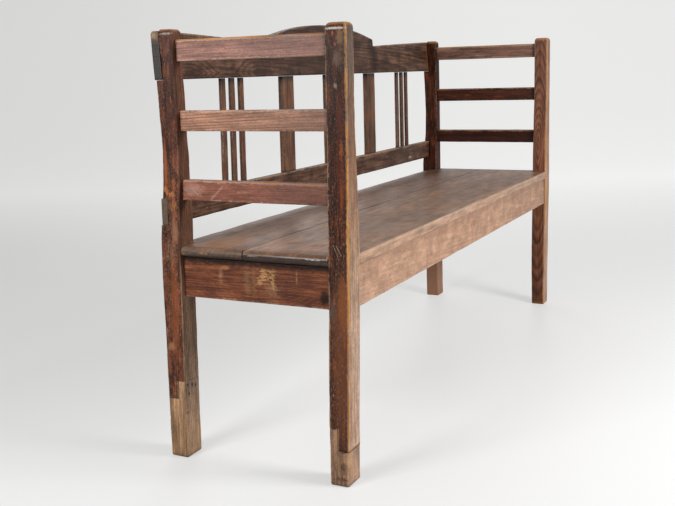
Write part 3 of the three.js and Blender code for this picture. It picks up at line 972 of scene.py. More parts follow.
    def apply(self, target: bpy.types.Object) -> None:
        """Builds the nodes and gives the material to an object.

        Args:
            target: The object.
        """
        look, tree, grain = self.finish, self.tree, self.timber.grain
        place = tree.node("ShaderNodeTexCoord", {}, {}, "Object")
        shift = tuple(part * self.timber.seed for part in (0.37, 0.61, 0.23))
        seeded = tree.vector("ADD", place, shift)
        worn = tree.attribute("worn")
        cap = tree.attribute("endgrain")
        fine, ragged, grit, uneven = (
            texture.read(tree, seeded, grain) for texture in (FIBRES, RAGGED, GRIT, UNEVEN)
        )
        ring = self.rings(place)
        wood = self.wood(seeded, ring, place, fine)
        dark_end = look.tinted(look.end, 1.0 - look.end_contrast)
        wood = tree.mix(cap, wood, tree.mix(ring * 0.5 + ragged * 0.5, tone(look.end), dark_end))
        wood = self.shaded(wood, grit.rising(*self.GRITTY) * look.grit + (1.0 - 0.5 * look.grit))
        edge = ragged + (grit - 0.5) * self.EDGE_GRIT
        level = worn * (uneven * self.WEAR_GAIN - self.WEAR_START) + (edge - 0.5) * self.WEAR_RAG
        low, high = look.wear_level - self.RIM_WIDTH, look.wear_level
        rim = level.rising(low, low + self.RIM_BLUR) * (1.0 - level.rising(high, high + self.BARE_FULL))
        wood = tree.mix(rim * (self.RIM_STRENGTH * look.wear), wood, tone(look.rim))
        bared = level.rising(high - self.BARE_EARLY, high + self.BARE_FULL)
        dark = look.tinted(look.bare, self.BARE_DARK)
        bare = tree.mix(fine.rising(*self.BARE_FIBRES), dark, tone(look.bare))
        wood = tree.mix(bared * look.wear, wood, bare)
        dents = None
        for mark in look.marks:
            wood, mask = mark.lay(tree, place, edge, wood)
            if isinstance(mark, CrackAndShadeLine):
                dents = mask if dents is None else dents.math("MAXIMUM", mask)
        dull, rough, dry = self.GLOSS
        gloss = (uneven - 0.5) * dull + (0.5 - fine) * rough + bared * dry + look.roughness
        tree.dress({"Base Color": wood, "Specular IOR Level": look.specular})
        tree.dress({"Roughness": (gloss - cap * look.end_gloss).clamped()})
        height = (1.0 - ring) * self.RING_RELIEF + fine * self.FIBRE_RELIEF
        height = height + grit * self.GRIT_RELIEF + uneven * self.DENT_RELIEF
        if dents is not None:
            height = height - dents * self.CRACK_RELIEF
        height = height * (1.0 - cap * self.CAP_SMOOTHNESS)
        links = {"Strength": self.BUMP_STRENGTH, "Distance": look.relief, "Height": height}
        tree.dress({"Normal": tree.node("ShaderNodeBump", {}, links)})
        target.data.materials.append(tree.material)

    def shaded(self, colour: Shade, amount: Shade) -> Shade:
        """Darkens a colour by an amount, through a grey."""
        grey = self.tree.node("ShaderNodeCombineColor", {}, {0: amount, 1: amount, 2: amount})
        return self.tree.mix(1.0, colour, grey, "MULTIPLY")


# The pew's sizes, as its solids have them


@dataclass(frozen=True)
class PostForm:
    """A post's front line, depths and widths, each as heights with values, from the floor up."""

    line: Curve
    depths: Curve
    widths: Curve
    height: float

    def front(self, height: Array | float) -> Array:
        """Gives the front face's place, straight from point to point."""
        points = np.array(self.line)
        return np.interp(height, points[:, 0], points[:, 1])

    @staticmethod
    def eased(values: Curve, height: Array | float) -> Array:
        """Reads a value at heights, easing from each given height to the next.

        Args:
            values: Heights, each with its value.
            height: The heights to read at.

        Returns:
            The values at the heights.
        """
        table = np.array(values)
        height = np.asarray(height, float)
        lower = np.clip(np.searchsorted(table[:, 0], height, side="right") - 1, 0, len(table) - 2)
        low, high = table[lower], table[lower + 1]
        share = smooth_share((height - low[..., 0]) / (high[..., 0] - low[..., 0]), 0.0, 1.0)
        return low[..., 1] + (high[..., 1] - low[..., 1]) * share

    def width(self, height: Array | float) -> Array:
        """Gives how wide the post is."""
        return self.eased(self.widths, height)

    def back(self, height: Array | float) -> Array:
        """Gives the back face's place."""
        return self.front(height) + self.eased(self.depths, height)


REAR_POST = PostForm(
    line=((0.0, 0.403), (0.476, 0.405), (0.676, 0.398), (0.948, 0.405)),
    depths=((0.0, 0.045), (0.476, 0.050), (0.620, 0.043), (0.948, 0.049)),
    widths=((0.476, 0.056), (0.716, 0.039)),
    height=0.948,
)


@dataclass(frozen=True)
class PewSizes:
    """The sizes that the assemblies share, in metres, with depths from the seat's front edge."""

    half_length: float = 860 * MM
    seat_top: float = 476 * MM
    seat_thickness: float = 23 * MM
    splay: float = 3 * MM
    depth_origin: float = -228.7363 * MM
    back_plane: float = 433 * MM
    crest_foot: float = 839 * MM
    crest_slope: float = 7 / 106
    lower_rail_foot: float = 522 * MM
    lower_rail_top: float = 581 * MM
    apron: Pair = (363.7 * MM, 452.7 * MM)
    gap: float = 0.3 * MM
    front_post: PostForm = PostForm(
        line=((0.0, 0.010), (0.476, 0.0), (0.944, -0.005)),
        depths=((0.0, 0.043), (0.190, 0.046)),
        widths=((0.476, 0.056), (0.806, 0.039)),
        height=0.944,
    )
    rear_posts: tuple[PostForm, PostForm] = (
        REAR_POST,
        replace(REAR_POST, line=((0.0, 0.403), (0.476, 0.405), (0.676, 0.404), (0.948, 0.405))),
    )

    def crest_front(self, height: Array | float) -> Array:
        """Gives the plane of the crest's front, which leans back as it rises from the crest's foot."""
        return self.back_plane + self.crest_slope * (np.asarray(height) - self.crest_foot)


SIZES = PewSizes()


class Side(Enum):
    """An end of the pew: left is near in the photograph, at low X, and right is far."""

    LEFT = -1
    RIGHT = 1

    @property
    def label(self) -> str:
        """Gives the word that the names use."""
        return self.name.lower()

    def rear_post(self, sizes: PewSizes) -> PostForm:
        """Picks the form of the rear post at this end."""
        return sizes.rear_posts[0 if self is Side.LEFT else 1]

    def across(self, outer: Array | float, width: Array | float) -> tuple[Array, Array]:
        """Gives low and high X of a piece from its outer face's distance to the middle, and its width."""
        first, second = self.value * np.asarray(outer), self.value * (np.asarray(outer) - width)
        return np.minimum(first, second), np.maximum(first, second)

    def corners(self, outer_back: float, inner_back: float, inner_front: float, outer_front: float) -> Four:
        """Puts one value for each corner of an upright timber in the order that Timber uses.

        Args:
            outer_back: The corner away from the pew's middle, behind.
            inner_back: The one towards the middle, behind.
            inner_front: The one towards the middle, in front.
            outer_front: The one away from it, in front.

        Returns:
            The values in order.
        """
        if self is Side.LEFT:
            return (inner_back, outer_back, outer_front, inner_front)
        return (outer_back, inner_back, inner_front, outer_front)


SPECKS = Patch("c4a78e", 7 * MM, 3.5 * MM, 0.66, 0.05, 0.5, 3.0)
CRAZING = Patch("8f7a69", 5 * MM, 2.5 * MM, 0.58, 0.05, 0.4, 23.0)
BLACK_RUNS = Patch("1d110d", 55 * MM, 16 * MM, 0.53, 0.07, 0.72, 5.0)
SHORT_RUNS = Patch("201211", 32 * MM, 17 * MM, 0.52, 0.07, 0.68, 37.0)
DARK_RUNS = Patch("2b1812", 120 * MM, 20 * MM, 0.56, 0.08, 0.55, 11.0)
RED_RUNS = Patch("86431f", 50 * MM, 9 * MM, 0.6, 0.08, 0.5, 7.0)
PALE_RUNS = Patch("b98f6d", 40 * MM, 6 * MM, 0.64, 0.06, 0.35, 9.0)
SEAT_SHADES = Patch("5e4434", 260 * MM, 90 * MM, 0.5, 0.14, 0.5, 17.0)
SEAT_CLOUDS = Patch("7c695c", 160 * MM, 60 * MM, 0.55, 0.12, 0.4, 13.0)
DARK_CLOUDS = Patch("2f1e17", 70 * MM, 30 * MM, 0.6, 0.1, 0.5, 11.0)
SMEARS = Patch("8d6650", 40 * MM, 60 * MM, 0.55, 0.12, 0.45, 19.0)
APRON_SMUDGES = Patch("6a4736", 18 * MM, 14 * MM, 0.62, 0.08, 0.4, 31.0)
BACK_SMUDGES = Patch("241812", 45 * MM, 50 * MM, 0.54, 0.1, 0.45, 41.0)
PURPLE_RUNS = Patch("4a2a26", 90 * MM, 24 * MM, 0.52, 0.1, 0.5, 27.0)
ORANGE_LINES = Patch("a8603a", 70 * MM, 2.6 * MM, 0.6, 0.06, 0.5, 29.0)

NEAR_FRONT_POST = WoodFinish(
    middle="4a271b",
    pale=(
        (0.1, "c29e86"), (0.3, "c2a289"), (0.55, "99775f"),
        (0.7, "825f47"), (0.83, "6b5648"), (0.94, "5a4b41"),
    ),
    spread=0.4,
    mottle=0.7,
    bare="d8984e",
    wear=0.95,
    specular=0.12,
    grit=0.5,
    ring_strength=0.6,
    patches=(BLACK_RUNS, RED_RUNS, CRAZING, SPECKS),
    knots=(
        Knot((-0.86, -0.2165, 0.75), (0.02, 0.018, 0.085), 3.5),
        Knot((-0.86, -0.2155, 0.635), (0.02, 0.019, 0.11), 3.5),
        Knot((-0.86, -0.215, 0.53), (0.02, 0.019, 0.05), 2.5),
    ),
    marks=(
        Stain((-0.862, -0.21, 0.26), (0.012, 0.022, 0.16), "855238", 0.45, 0.6, 0.6),
        Stain((-0.862, -0.208, 0.82), (0.006, 0.05, 0.26), "170c09", 0.4, 0.3, 0.5),
        *stains(0, -0.86, 0.012, [
            (-0.2165, 0.7576, 0.007, 0.045, "5c2a18", 0.45, 1.8, 0.7),
            (-0.2155, 0.635, 0.0085, 0.08, "642c18", 0.5, 1.8, 0.7),
            (-0.2173, 0.692, 0.0036, 0.017, "a2582c", 0.5, 1.4, 0.6),
            (-0.216, 0.6, 0.0035, 0.026, "8a4526", 0.5, 0.5, 0.5),
            (-0.2134, 0.3803, 0.01, 0.05, "8a512f", 0.6, 0.4, 0.5),
        ]),
        *stains(0, -0.86, 0.01, [
            (-0.1907, 0.3639, 0.006, 0.02, "54483f", 0.6, 0.5, 0.5),
            (-0.2136, 0.8731, 0.009, 0.014, "7a6654", 0.4, 1.2, 0.6),
            (-0.22, 0.915, 0.006, 0.018, "8d7050", 0.5, 1.2, 0.6),
        ]),
        # Painted highlight: a pale line along the top's outer arris.
        Stain((-0.862, -0.209, 0.9315), (0.008, 0.021, 0.0022), "cbbab0", 0.9, 0.8, 0.6),
        Stain((-0.845, -0.208, 0.946), (0.06, 0.06, 0.007), "a87444", 0.85, 0.8, 0.5),
        CrackAndShadeLine((-0.862, -0.195, 0.9355), (-0.862, -0.22, 0.9362), 1.4 * MM, "1a0f0a", 0.7),
        *stains(0, -0.86, 0.006, [
            (-0.2041, 0.9215, 0.002, 0.0055, "b4582a", 0.6, 1.4, 0.5),
            (-0.2089, 0.9005, 0.0016, 0.0029, "b4582a", 0.45, 1.4, 0.5),
            (-0.2088, 0.8185, 0.0033, 0.0049, "a8927e", 0.5, 0.8, 0.5),
        ]),
        CrackAndShadeLine((-0.86, -0.2011, 0.4996), (-0.86, -0.2116, 0.4799), 1.6 * MM, "a88d76", 0.6),
        CrackAndShadeLine((-0.86, -0.1945, 0.5012), (-0.86, -0.2049, 0.4754), 1.4 * MM, "a88d76", 0.55),
        CrackAndShadeLine((-0.86, -0.2, 0.1191), (-0.86, -0.1985, 0.0803), 1.6 * MM),
        Band(2, 0.0743, 0.007, "1a100b", 0.6),
    ),
)
NEAR_REAR_POST = WoodFinish(
    middle="663a29",
    pale=((0.1, "b59478"), (0.4, "aa8468"), (0.48, "624535"), (0.9, "68412e")),
    spread=0.42,
    mottle=0.75,
    specular=0.14,
    grit=0.5,
    patches=(SHORT_RUNS, RED_RUNS, CRAZING, SPECKS),
    knots=(Knot((-0.86, 0.1803, 0.835), (0.02, 0.015, 0.06), 3.0),),
    marks=(
        *stains(0, -0.862, 0.006, [
            (0.19, 0.87, 0.06, 0.16, "1c0f0d", 0.3, 0.4, 0.5),
            (0.188, 0.73, 0.018, 0.07, "3a1c14", 0.5, 0.9, 0.5),
        ]),
        *stains(0, -0.86, 0.012, [
            (0.1803, 0.8559, 0.0055, 0.028, "2a1a16", 0.75, 0.6, 0.4),
            (0.18, 0.8109, 0.005, 0.018, "23140f", 0.8, 0.4, 0.4),
            (0.1985, 0.6877, 0.0055, 0.032, "251612", 0.7, 0.5, 0.5),
            (0.2056, 0.65, 0.0045, 0.05, "9a552d", 0.6, 0.6, 0.5),
        ]),
        *stains(0, -0.86, 0.008, [
            (0.2077, 0.6, 0.0045, 0.007, "b87440", 0.6, 2.0, 0.6),
            (0.2, 0.5925, 0.006, 0.004, "b87440", 0.6, 2.2, 0.6),
            (0.1905, 0.5893, 0.006, 0.005, "b87440", 0.5, 2.2, 0.6),
            (0.189, 0.565, 0.006, 0.008, "b27842", 0.45, 2.4, 0.6),
            (0.186, 0.612, 0.004, 0.012, "9a552d", 0.5, 1.6, 0.6),
            (0.187, 0.51, 0.006, 0.02, "a08468", 0.35, 2.2, 0.7),
            (0.2, 0.46, 0.008, 0.02, "94765a", 0.3, 2.2, 0.7),
            (0.208, 0.2511, 0.0094, 0.008, "a87a58", 0.6, 0.9, 0.5),
            (0.2028, 0.4094, 0.007, 0.0115, "26150f", 0.6, 0.5, 0.5),
        ]),
        Stain((-0.86, 0.195, 0.33), (0.01, 0.01, 0.11), "8c4c28", 0.5, 0.5, 0.5),
        Stain((-0.845, 0.1919, 0.95), (0.06, 0.06, 0.0065), "8c6040", 0.8, 0.8, 0.5),
        Stain((-0.862, 0.19, 0.938), (0.006, 0.018, 0.002), "b0a096", 0.6, 1.8, 0.6),
        # Painted shade: two dark lines down the front outer arris, where the post's front face lies in shadow
        # beside the recessed rails.
        CrackAndShadeLine((-0.855, 0.1763, 0.48), (-0.855, 0.1693, 0.676), 2.4 * MM, "150c09", 0.55),
        CrackAndShadeLine((-0.855, 0.1693, 0.676), (-0.855, 0.176, 0.935), 2.4 * MM, "150c09", 0.55),
        CrackAndShadeLine((-0.861, 0.2036, 0.839), (-0.861, 0.2106, 0.948), 2.2 * MM),
        CrackAndShadeLine((-0.861, 0.2039, 0.8385), (-0.861, 0.23, 0.8385), 2.2 * MM),
        CrackAndShadeLine((-0.861, 0.204, 0.522), (-0.861, 0.204, 0.5815), 1.8 * MM),
        CrackAndShadeLine((-0.861, 0.204, 0.5818), (-0.861, 0.222, 0.5818), 1.8 * MM),
        CrackAndShadeLine((-0.862, 0.1722, 0.174), (-0.8, 0.1722, 0.174), 3.0 * MM, "1a100b", 0.7),
        CrackAndShadeLine((-0.862, 0.195, 0.134), (-0.862, 0.22, 0.134), 2.4 * MM, "1a100b", 0.7),
    ),
)
FAR_FRONT_POST = WoodFinish(
    middle="7c4b33",
    mottle=0.3,
    late="24130c",
    pale=((0.1, "d0a586"), (0.4, "c0936f"), (0.9, "9c7257")),
    grit=0.2,
    pith=(-0.018, 0.004),
    lean=(0.11, 0.012),
    ring_width=5 * MM,
    ring_strength=1.0,
    bare="c08448",
    marks=(
        Stain((0.845, -0.208, 0.946), (0.06, 0.06, 0.01), "b07c4c", 0.8, 0.8, 0.5),
        Band(2, 0.0, 0.014, "a8703c", 0.55),
    ),
)
FAR_REAR_POST = WoodFinish(
    middle="4a281b",
    pale=((0.1, "a07a62"), (0.4, "4a2a1e"), (0.9, "2c150e")),
    specular=0.06,
    grit=0.45,
    patches=(RED_RUNS, BLACK_RUNS),
    marks=(
        Band(2, 0.0, 0.33, "ad8268", 0.6),
        Stain((0.845, 0.198, 0.95), (0.06, 0.06, 0.009), "b07c4c", 0.8, 0.8, 0.5),
        Band(2, 0.0, 0.012, "a8703c", 0.5),
    ),
)
NEAR_FRONT_FOOT = WoodFinish(
    middle="8a6850",
    pale=((0.0, "b08a6e"), (0.12, "ae8c74")),
    mottle=0.6,
    bare="c49a72",
    wear=0.7,
    streak_length=0.2,
    patches=(DARK_RUNS, SPECKS),
    marks=(
        CrackAndShadeLine((-0.862, -0.2022, 0.0715), (-0.862, -0.2171, 0.0739), 2.0 * MM),
        Stain((-0.862, -0.1862, 0.1215), (0.006, 0.0068, 0.0025), "120b08", 0.9, 0.4, 0.4),
        Stain((-0.862, -0.2185, 0.054), (0.008, 0.0028, 0.018), "c59a6c", 0.6, 1.8, 0.5),
        CrackAndShadeLine((-0.85, -0.2205, 0.105), (-0.848, -0.2205, 0.085), 1.4 * MM),
        *stains(0, -0.862, 0.006, [
            (-0.206, 0.042, 0.004, 0.011, "2a1c14", 0.6, 1.2, 0.5),
            (-0.201, 0.016, 0.012, 0.004, "2a1c14", 0.5, 1.4, 0.5),
        ]),
        Band(2, 0.0, 0.01, "5a3d28", 0.6),
    ),
    grit=0.45,
)
NEAR_REAR_FOOT = WoodFinish(
    middle="a5805f",
    pale=((0.0, "b8926e"), (0.1, "b08c6e"), (0.17, "967a66")),
    spread=0.25,
    mottle=0.4,
    streak_length=0.2,
    bare="b58a5c",
    grit=0.4,
    marks=(
        *stains(1, 0.1722, 0.006, [
            (-0.853, 0.164, 0.0034, 0.004, "120b08", 0.9, 0.5, 0.4),
            (-0.848, 0.143, 0.0034, 0.0034, "120b08", 0.9, 0.5, 0.4),
            (-0.835, 0.16, 0.0036, 0.0046, "120b08", 0.9, 0.5, 0.4),
            (-0.822, 0.156, 0.0036, 0.006, "120b08", 0.85, 0.7, 0.4),
            (-0.856, 0.103, 0.006, 0.0024, "2a1c14", 0.6, 1.2, 0.5),
            (-0.83, 0.095, 0.01, 0.018, "6a5444", 0.4, 1.6, 0.6),
        ]),
        CrackAndShadeLine((-0.862, 0.1735, 0.13), (-0.862, 0.1745, 0.05), 1.8 * MM, "2a1c14", 0.7),
        CrackAndShadeLine((-0.862, 0.19, 0.13), (-0.862, 0.188, 0.07), 1.4 * MM, "3a281c", 0.5),
        CrackAndShadeLine((-0.862, 0.195, 0.133), (-0.862, 0.22, 0.133), 2.4 * MM, "1a100b", 0.7),
        CrackAndShadeLine((-0.862, 0.1722, 0.1726), (-0.8, 0.1722, 0.1726), 2.4 * MM, "1a100b", 0.7),
        Band(2, 0.0, 0.012, "5a4634", 0.6),
    ),
)
# Painted shade: dark bands on the rails in the corners where they meet the posts' faces.
RAIL_END_SHADE = (Band(1, 0.18, 0.014, "120b08", 0.6), Band(1, -0.186, 0.014, "120b08", 0.6))
RAIL_SHADE = Band(1, -0.2, 0.3, "563e36", 0.45)
NEAR_TOP_RAIL = WoodFinish(
    middle="91675a",
    mottle=0.35,
    spread=0.12,
    ring_width=4 * MM,
    ring_strength=0.18,
    patches=(PALE_RUNS,),
    bare="c88a4a",
    rim="dcc4b4",
    grit=0.35,
    marks=(RAIL_SHADE, *RAIL_END_SHADE),
)
NEAR_RAILS = (
    NEAR_TOP_RAIL,
    replace(NEAR_TOP_RAIL, middle="ad7f66", ring_width=5 * MM, ring_strength=0.8, late="5a2c18", patches=()),
    replace(
        NEAR_TOP_RAIL,
        middle="84503e",
        marks=(
            CrackAndShadeLine((-0.848, 0.1504, 0.609), (-0.848, 0.1317, 0.5906), 1.8 * MM, "c4a998", 0.3, 4 * MM),
            CrackAndShadeLine((-0.848, 0.131, 0.611), (-0.848, 0.124, 0.6015), 1.6 * MM, "c4a998", 0.4, 4 * MM),
            CrackAndShadeLine((-0.848, 0.0698, 0.6092), (-0.848, 0.0987, 0.5802), 4.0 * MM, "c79f84", 0.28, 6 * MM),
            Stain((-0.848, 0.145, 0.602), (0.006, 0.022, 0.011), "b8998a", 0.35, 1.6, 0.6),
            RAIL_SHADE,
            *RAIL_END_SHADE,
        ),
    ),
)
FAR_RAILS = (
    WoodFinish(middle="86604f", patches=(RED_RUNS, DARK_RUNS), marks=RAIL_END_SHADE),
    WoodFinish(middle="452216", specular=0.15, patches=(RED_RUNS,), marks=RAIL_END_SHADE),
    WoodFinish(middle="3a1a11", specular=0.15, marks=RAIL_END_SHADE),
)
FAR_APRON = WoodFinish(middle="6a4536", mottle=0.4)
NEAR_APRON = WoodFinish(
    middle="74452f",
    mottle=0.55,
    late="3a1a12",
    ring_width=6 * MM,
    ring_strength=0.5,
    spread=0.25,
    specular=0.14,
    grit=0.4,
    patches=(PURPLE_RUNS, ORANGE_LINES),
    knots=(Knot((-0.848, -0.1676, 0.3861), (0.04, 0.1, 0.045), 4.0),),
    marks=(
        *stains(0, -0.848, 0.006, [
            (0.0696, 0.4351, 0.0105, 0.004, "ad7448", 0.75, 0.3, 0.5),
            (0.0818, 0.4157, 0.0045, 0.014, "b58d6e", 0.35, 2.0, 0.7),
            (0.0156, 0.4142, 0.006, 0.03, "a07c58", 0.32, 2.2, 0.8),
            (-0.001, 0.4148, 0.004, 0.028, "a07c58", 0.28, 2.2, 0.8),
            (-0.033, 0.4338, 0.017, 0.003, "c79c68", 0.55, 2.4, 0.7),
            (-0.047, 0.415, 0.0032, 0.02, "c79c68", 0.5, 2.4, 0.7),
            (-0.023, 0.424, 0.005, 0.011, "c79c68", 0.6, 2.2, 0.7),
            (-0.014, 0.41, 0.005, 0.009, "c79c68", 0.5, 2.2, 0.7),
            (-0.033, 0.42, 0.009, 0.005, "c79c68", 0.4, 2.4, 0.7),
            (-0.042, 0.395, 0.014, 0.014, "b78d68", 0.3, 2.0, 0.8),
            (-0.1033, 0.427, 0.0016, 0.014, "b78d68", 0.35, 1.8, 0.6),
        ]),
        Stain((-0.848, -0.1676, 0.3861), (0.008, 0.0105, 0.0145), "170d0a", 0.85, 0.5, 0.5),
        # Painted shadow along the apron's top under the seat's nosing, and painted shade where the apron
        # meets the rear post.
        Band(2, 0.453, 0.022, "0c0705", 0.95),
        Band(1, 0.18, 0.01, "120b08", 0.7),
    ),
)
CREST = WoodFinish(
    middle="65493a",
    mottle=0.35,
    late="2c1a12",
    end="45413e",
    end_contrast=0.45,
    patches=(DARK_RUNS, BACK_SMUDGES),
    knots=(Knot((-0.596, 0.206, 0.849), (0.17, 0.06, 0.07), 5.0),),
    pith=(-0.043, -0.045),
    lean=(0.05, 0.004),
    ring_width=8 * MM,
    ring_strength=1.0,
    specular=0.12,
    grit=0.4,
    marks=(
        Band(0, -0.1, 0.56, "271b17", 0.6),
        Stain((-0.862, 0.219, 0.944), (0.03, 0.03, 0.019), "75583f", 0.9, 0.6, 0.3),
        Stain((-0.862, 0.223, 0.936), (0.01, 0.006, 0.006), "a39286", 0.5, 1.6, 0.6),
        # Painted shade: a dark band on the crest's front at the right step of its arch.
        Band(0, 0.312, 0.05, "1a0f0c", 0.7),
        Band(0, 0.42, 0.03, "2a1c15", 0.4),
        Stain((-0.2151, 0.204, 0.8451), (0.006, 0.006, 0.004), "0c0705", 0.9, 0.2, 0.4),
        Band(2, 0.839, 0.006, "150c09", 0.6),
        Band(0, -0.815, 0.012, "150c09", 0.5),
        Band(0, 0.815, 0.012, "7a4a28", 0.5),
    ),
)
LOWER_RAIL = WoodFinish(
    middle="65493a",
    end="655648",
    end_contrast=0.4,
    patches=(DARK_RUNS, BACK_SMUDGES, SPECKS),
    specular=0.12,
    grit=0.4,
    marks=(
        Stain((0.6156, 0.2043, 0.5391), (0.012, 0.006, 0.004), "c9a684", 0.6, 1.6, 0.5),
        Band(2, 0.522, 0.005, "150c09", 0.5),
    ),
)
SLAT = WoodFinish(
    middle="5c3f2c",
    grit=0.4,
    patches=(RED_RUNS, DARK_RUNS),
    # Painted shade: dark bands at the slats' tops under the crest, and at their feet on the lower rail.
    marks=(Band(2, 0.839, 0.022, "120b08", 0.85), Band(2, 0.581, 0.008, "120b08", 0.6)),
)
# Marks of both seat planks: the dark joint between them, painted shadow under the nosings, and thin dark
# lines where the nosings start.
PLANK_JOINT_AND_NOSING_SHADE = (
    Band(1, 0.0195, 0.003, "0c0705", 0.9),
        # Painted shadow under the rounded nosing at each end.
        *stains(1, 0.0, 0.3, [
            (-0.86, 0.453, 0.018, 0.0085, "120b08", 0.85, 0.3, 0.4),
            (0.86, 0.453, 0.018, 0.0085, "120b08", 0.85, 0.3, 0.4),
        ]),
    Band(0, -0.848, 0.003, "1a110c", 0.6),
    Band(0, 0.848, 0.003, "1a110c", 0.6),
)
FRONT_PLANK = WoodFinish(
    middle="966c4e",
    pale=((0.0, "ac8970"), (1.0, "ac8970")),
    spread=0.1,
    mottle=0.45,
    fibre=0.16,
    streak_length=0.25,
    specular=0.24,
    grit=0.22,
    end="40312b",
    end_contrast=0.3,
    end_gloss=0.2,
    ring_width=12 * MM,
    ring_strength=0.3,
    roughness=0.42,
    patches=(SEAT_SHADES, SEAT_CLOUDS, DARK_CLOUDS),
    bare="c09c80",
    marks=PLANK_JOINT_AND_NOSING_SHADE,
)
REAR_PLANK = replace(
    FRONT_PLANK,
    middle="8a644c",
    end="604e42",
    end_contrast=0.5,
    end_gloss=0.0,
    marks=(
        Stain((-0.7879, 0.1077, 0.476), (0.08, 0.04, 0.006), "9c7150", 0.6, 0.6, 0.5),
        *stains(0, -0.86, 0.01, [
            (0.1685, 0.4606, 0.004, 0.0028, "a27448", 0.6, 1.5, 0.5),
            (0.12, 0.4655, 0.005, 0.0024, "a27448", 0.6, 1.5, 0.5),
            (0.1089, 0.4643, 0.003, 0.0024, "a27448", 0.6, 1.5, 0.5),
        ]),
        *PLANK_JOINT_AND_NOSING_SHADE,
    ),
)
FRONT_APRON = WoodFinish(
    middle="b28c72",
    spread=0.04,
    mottle=0.3,
    fibre=0.12,
    streak_length=0.12,
    late="7a5038",
    ring_width=7 * MM,
    ring_strength=0.3,
    knots=(Knot((-0.0143, -0.2227, 0.4176), (0.08, 0.03, 0.026), 3.0),),
    bare="c29a7c",
    patches=(SMEARS, APRON_SMUDGES),
    marks=(
        Stain((-0.0143, -0.2227, 0.4172), (0.024, 0.006, 0.008), "8a5f48", 0.6, 0.3, 0.4),
        # Painted shade along the apron's top, under the seat's front edge: a thin dark line and a broader
        # darker band.
        Band(2, 0.4527, 0.003, "3a2418", 0.45),
        Band(2, 0.45, 0.03, "7a5644", 0.3),
    ),
)
UNDERSIDE = WoodFinish(middle="83664f", bare="a58767", patches=(DARK_RUNS,))


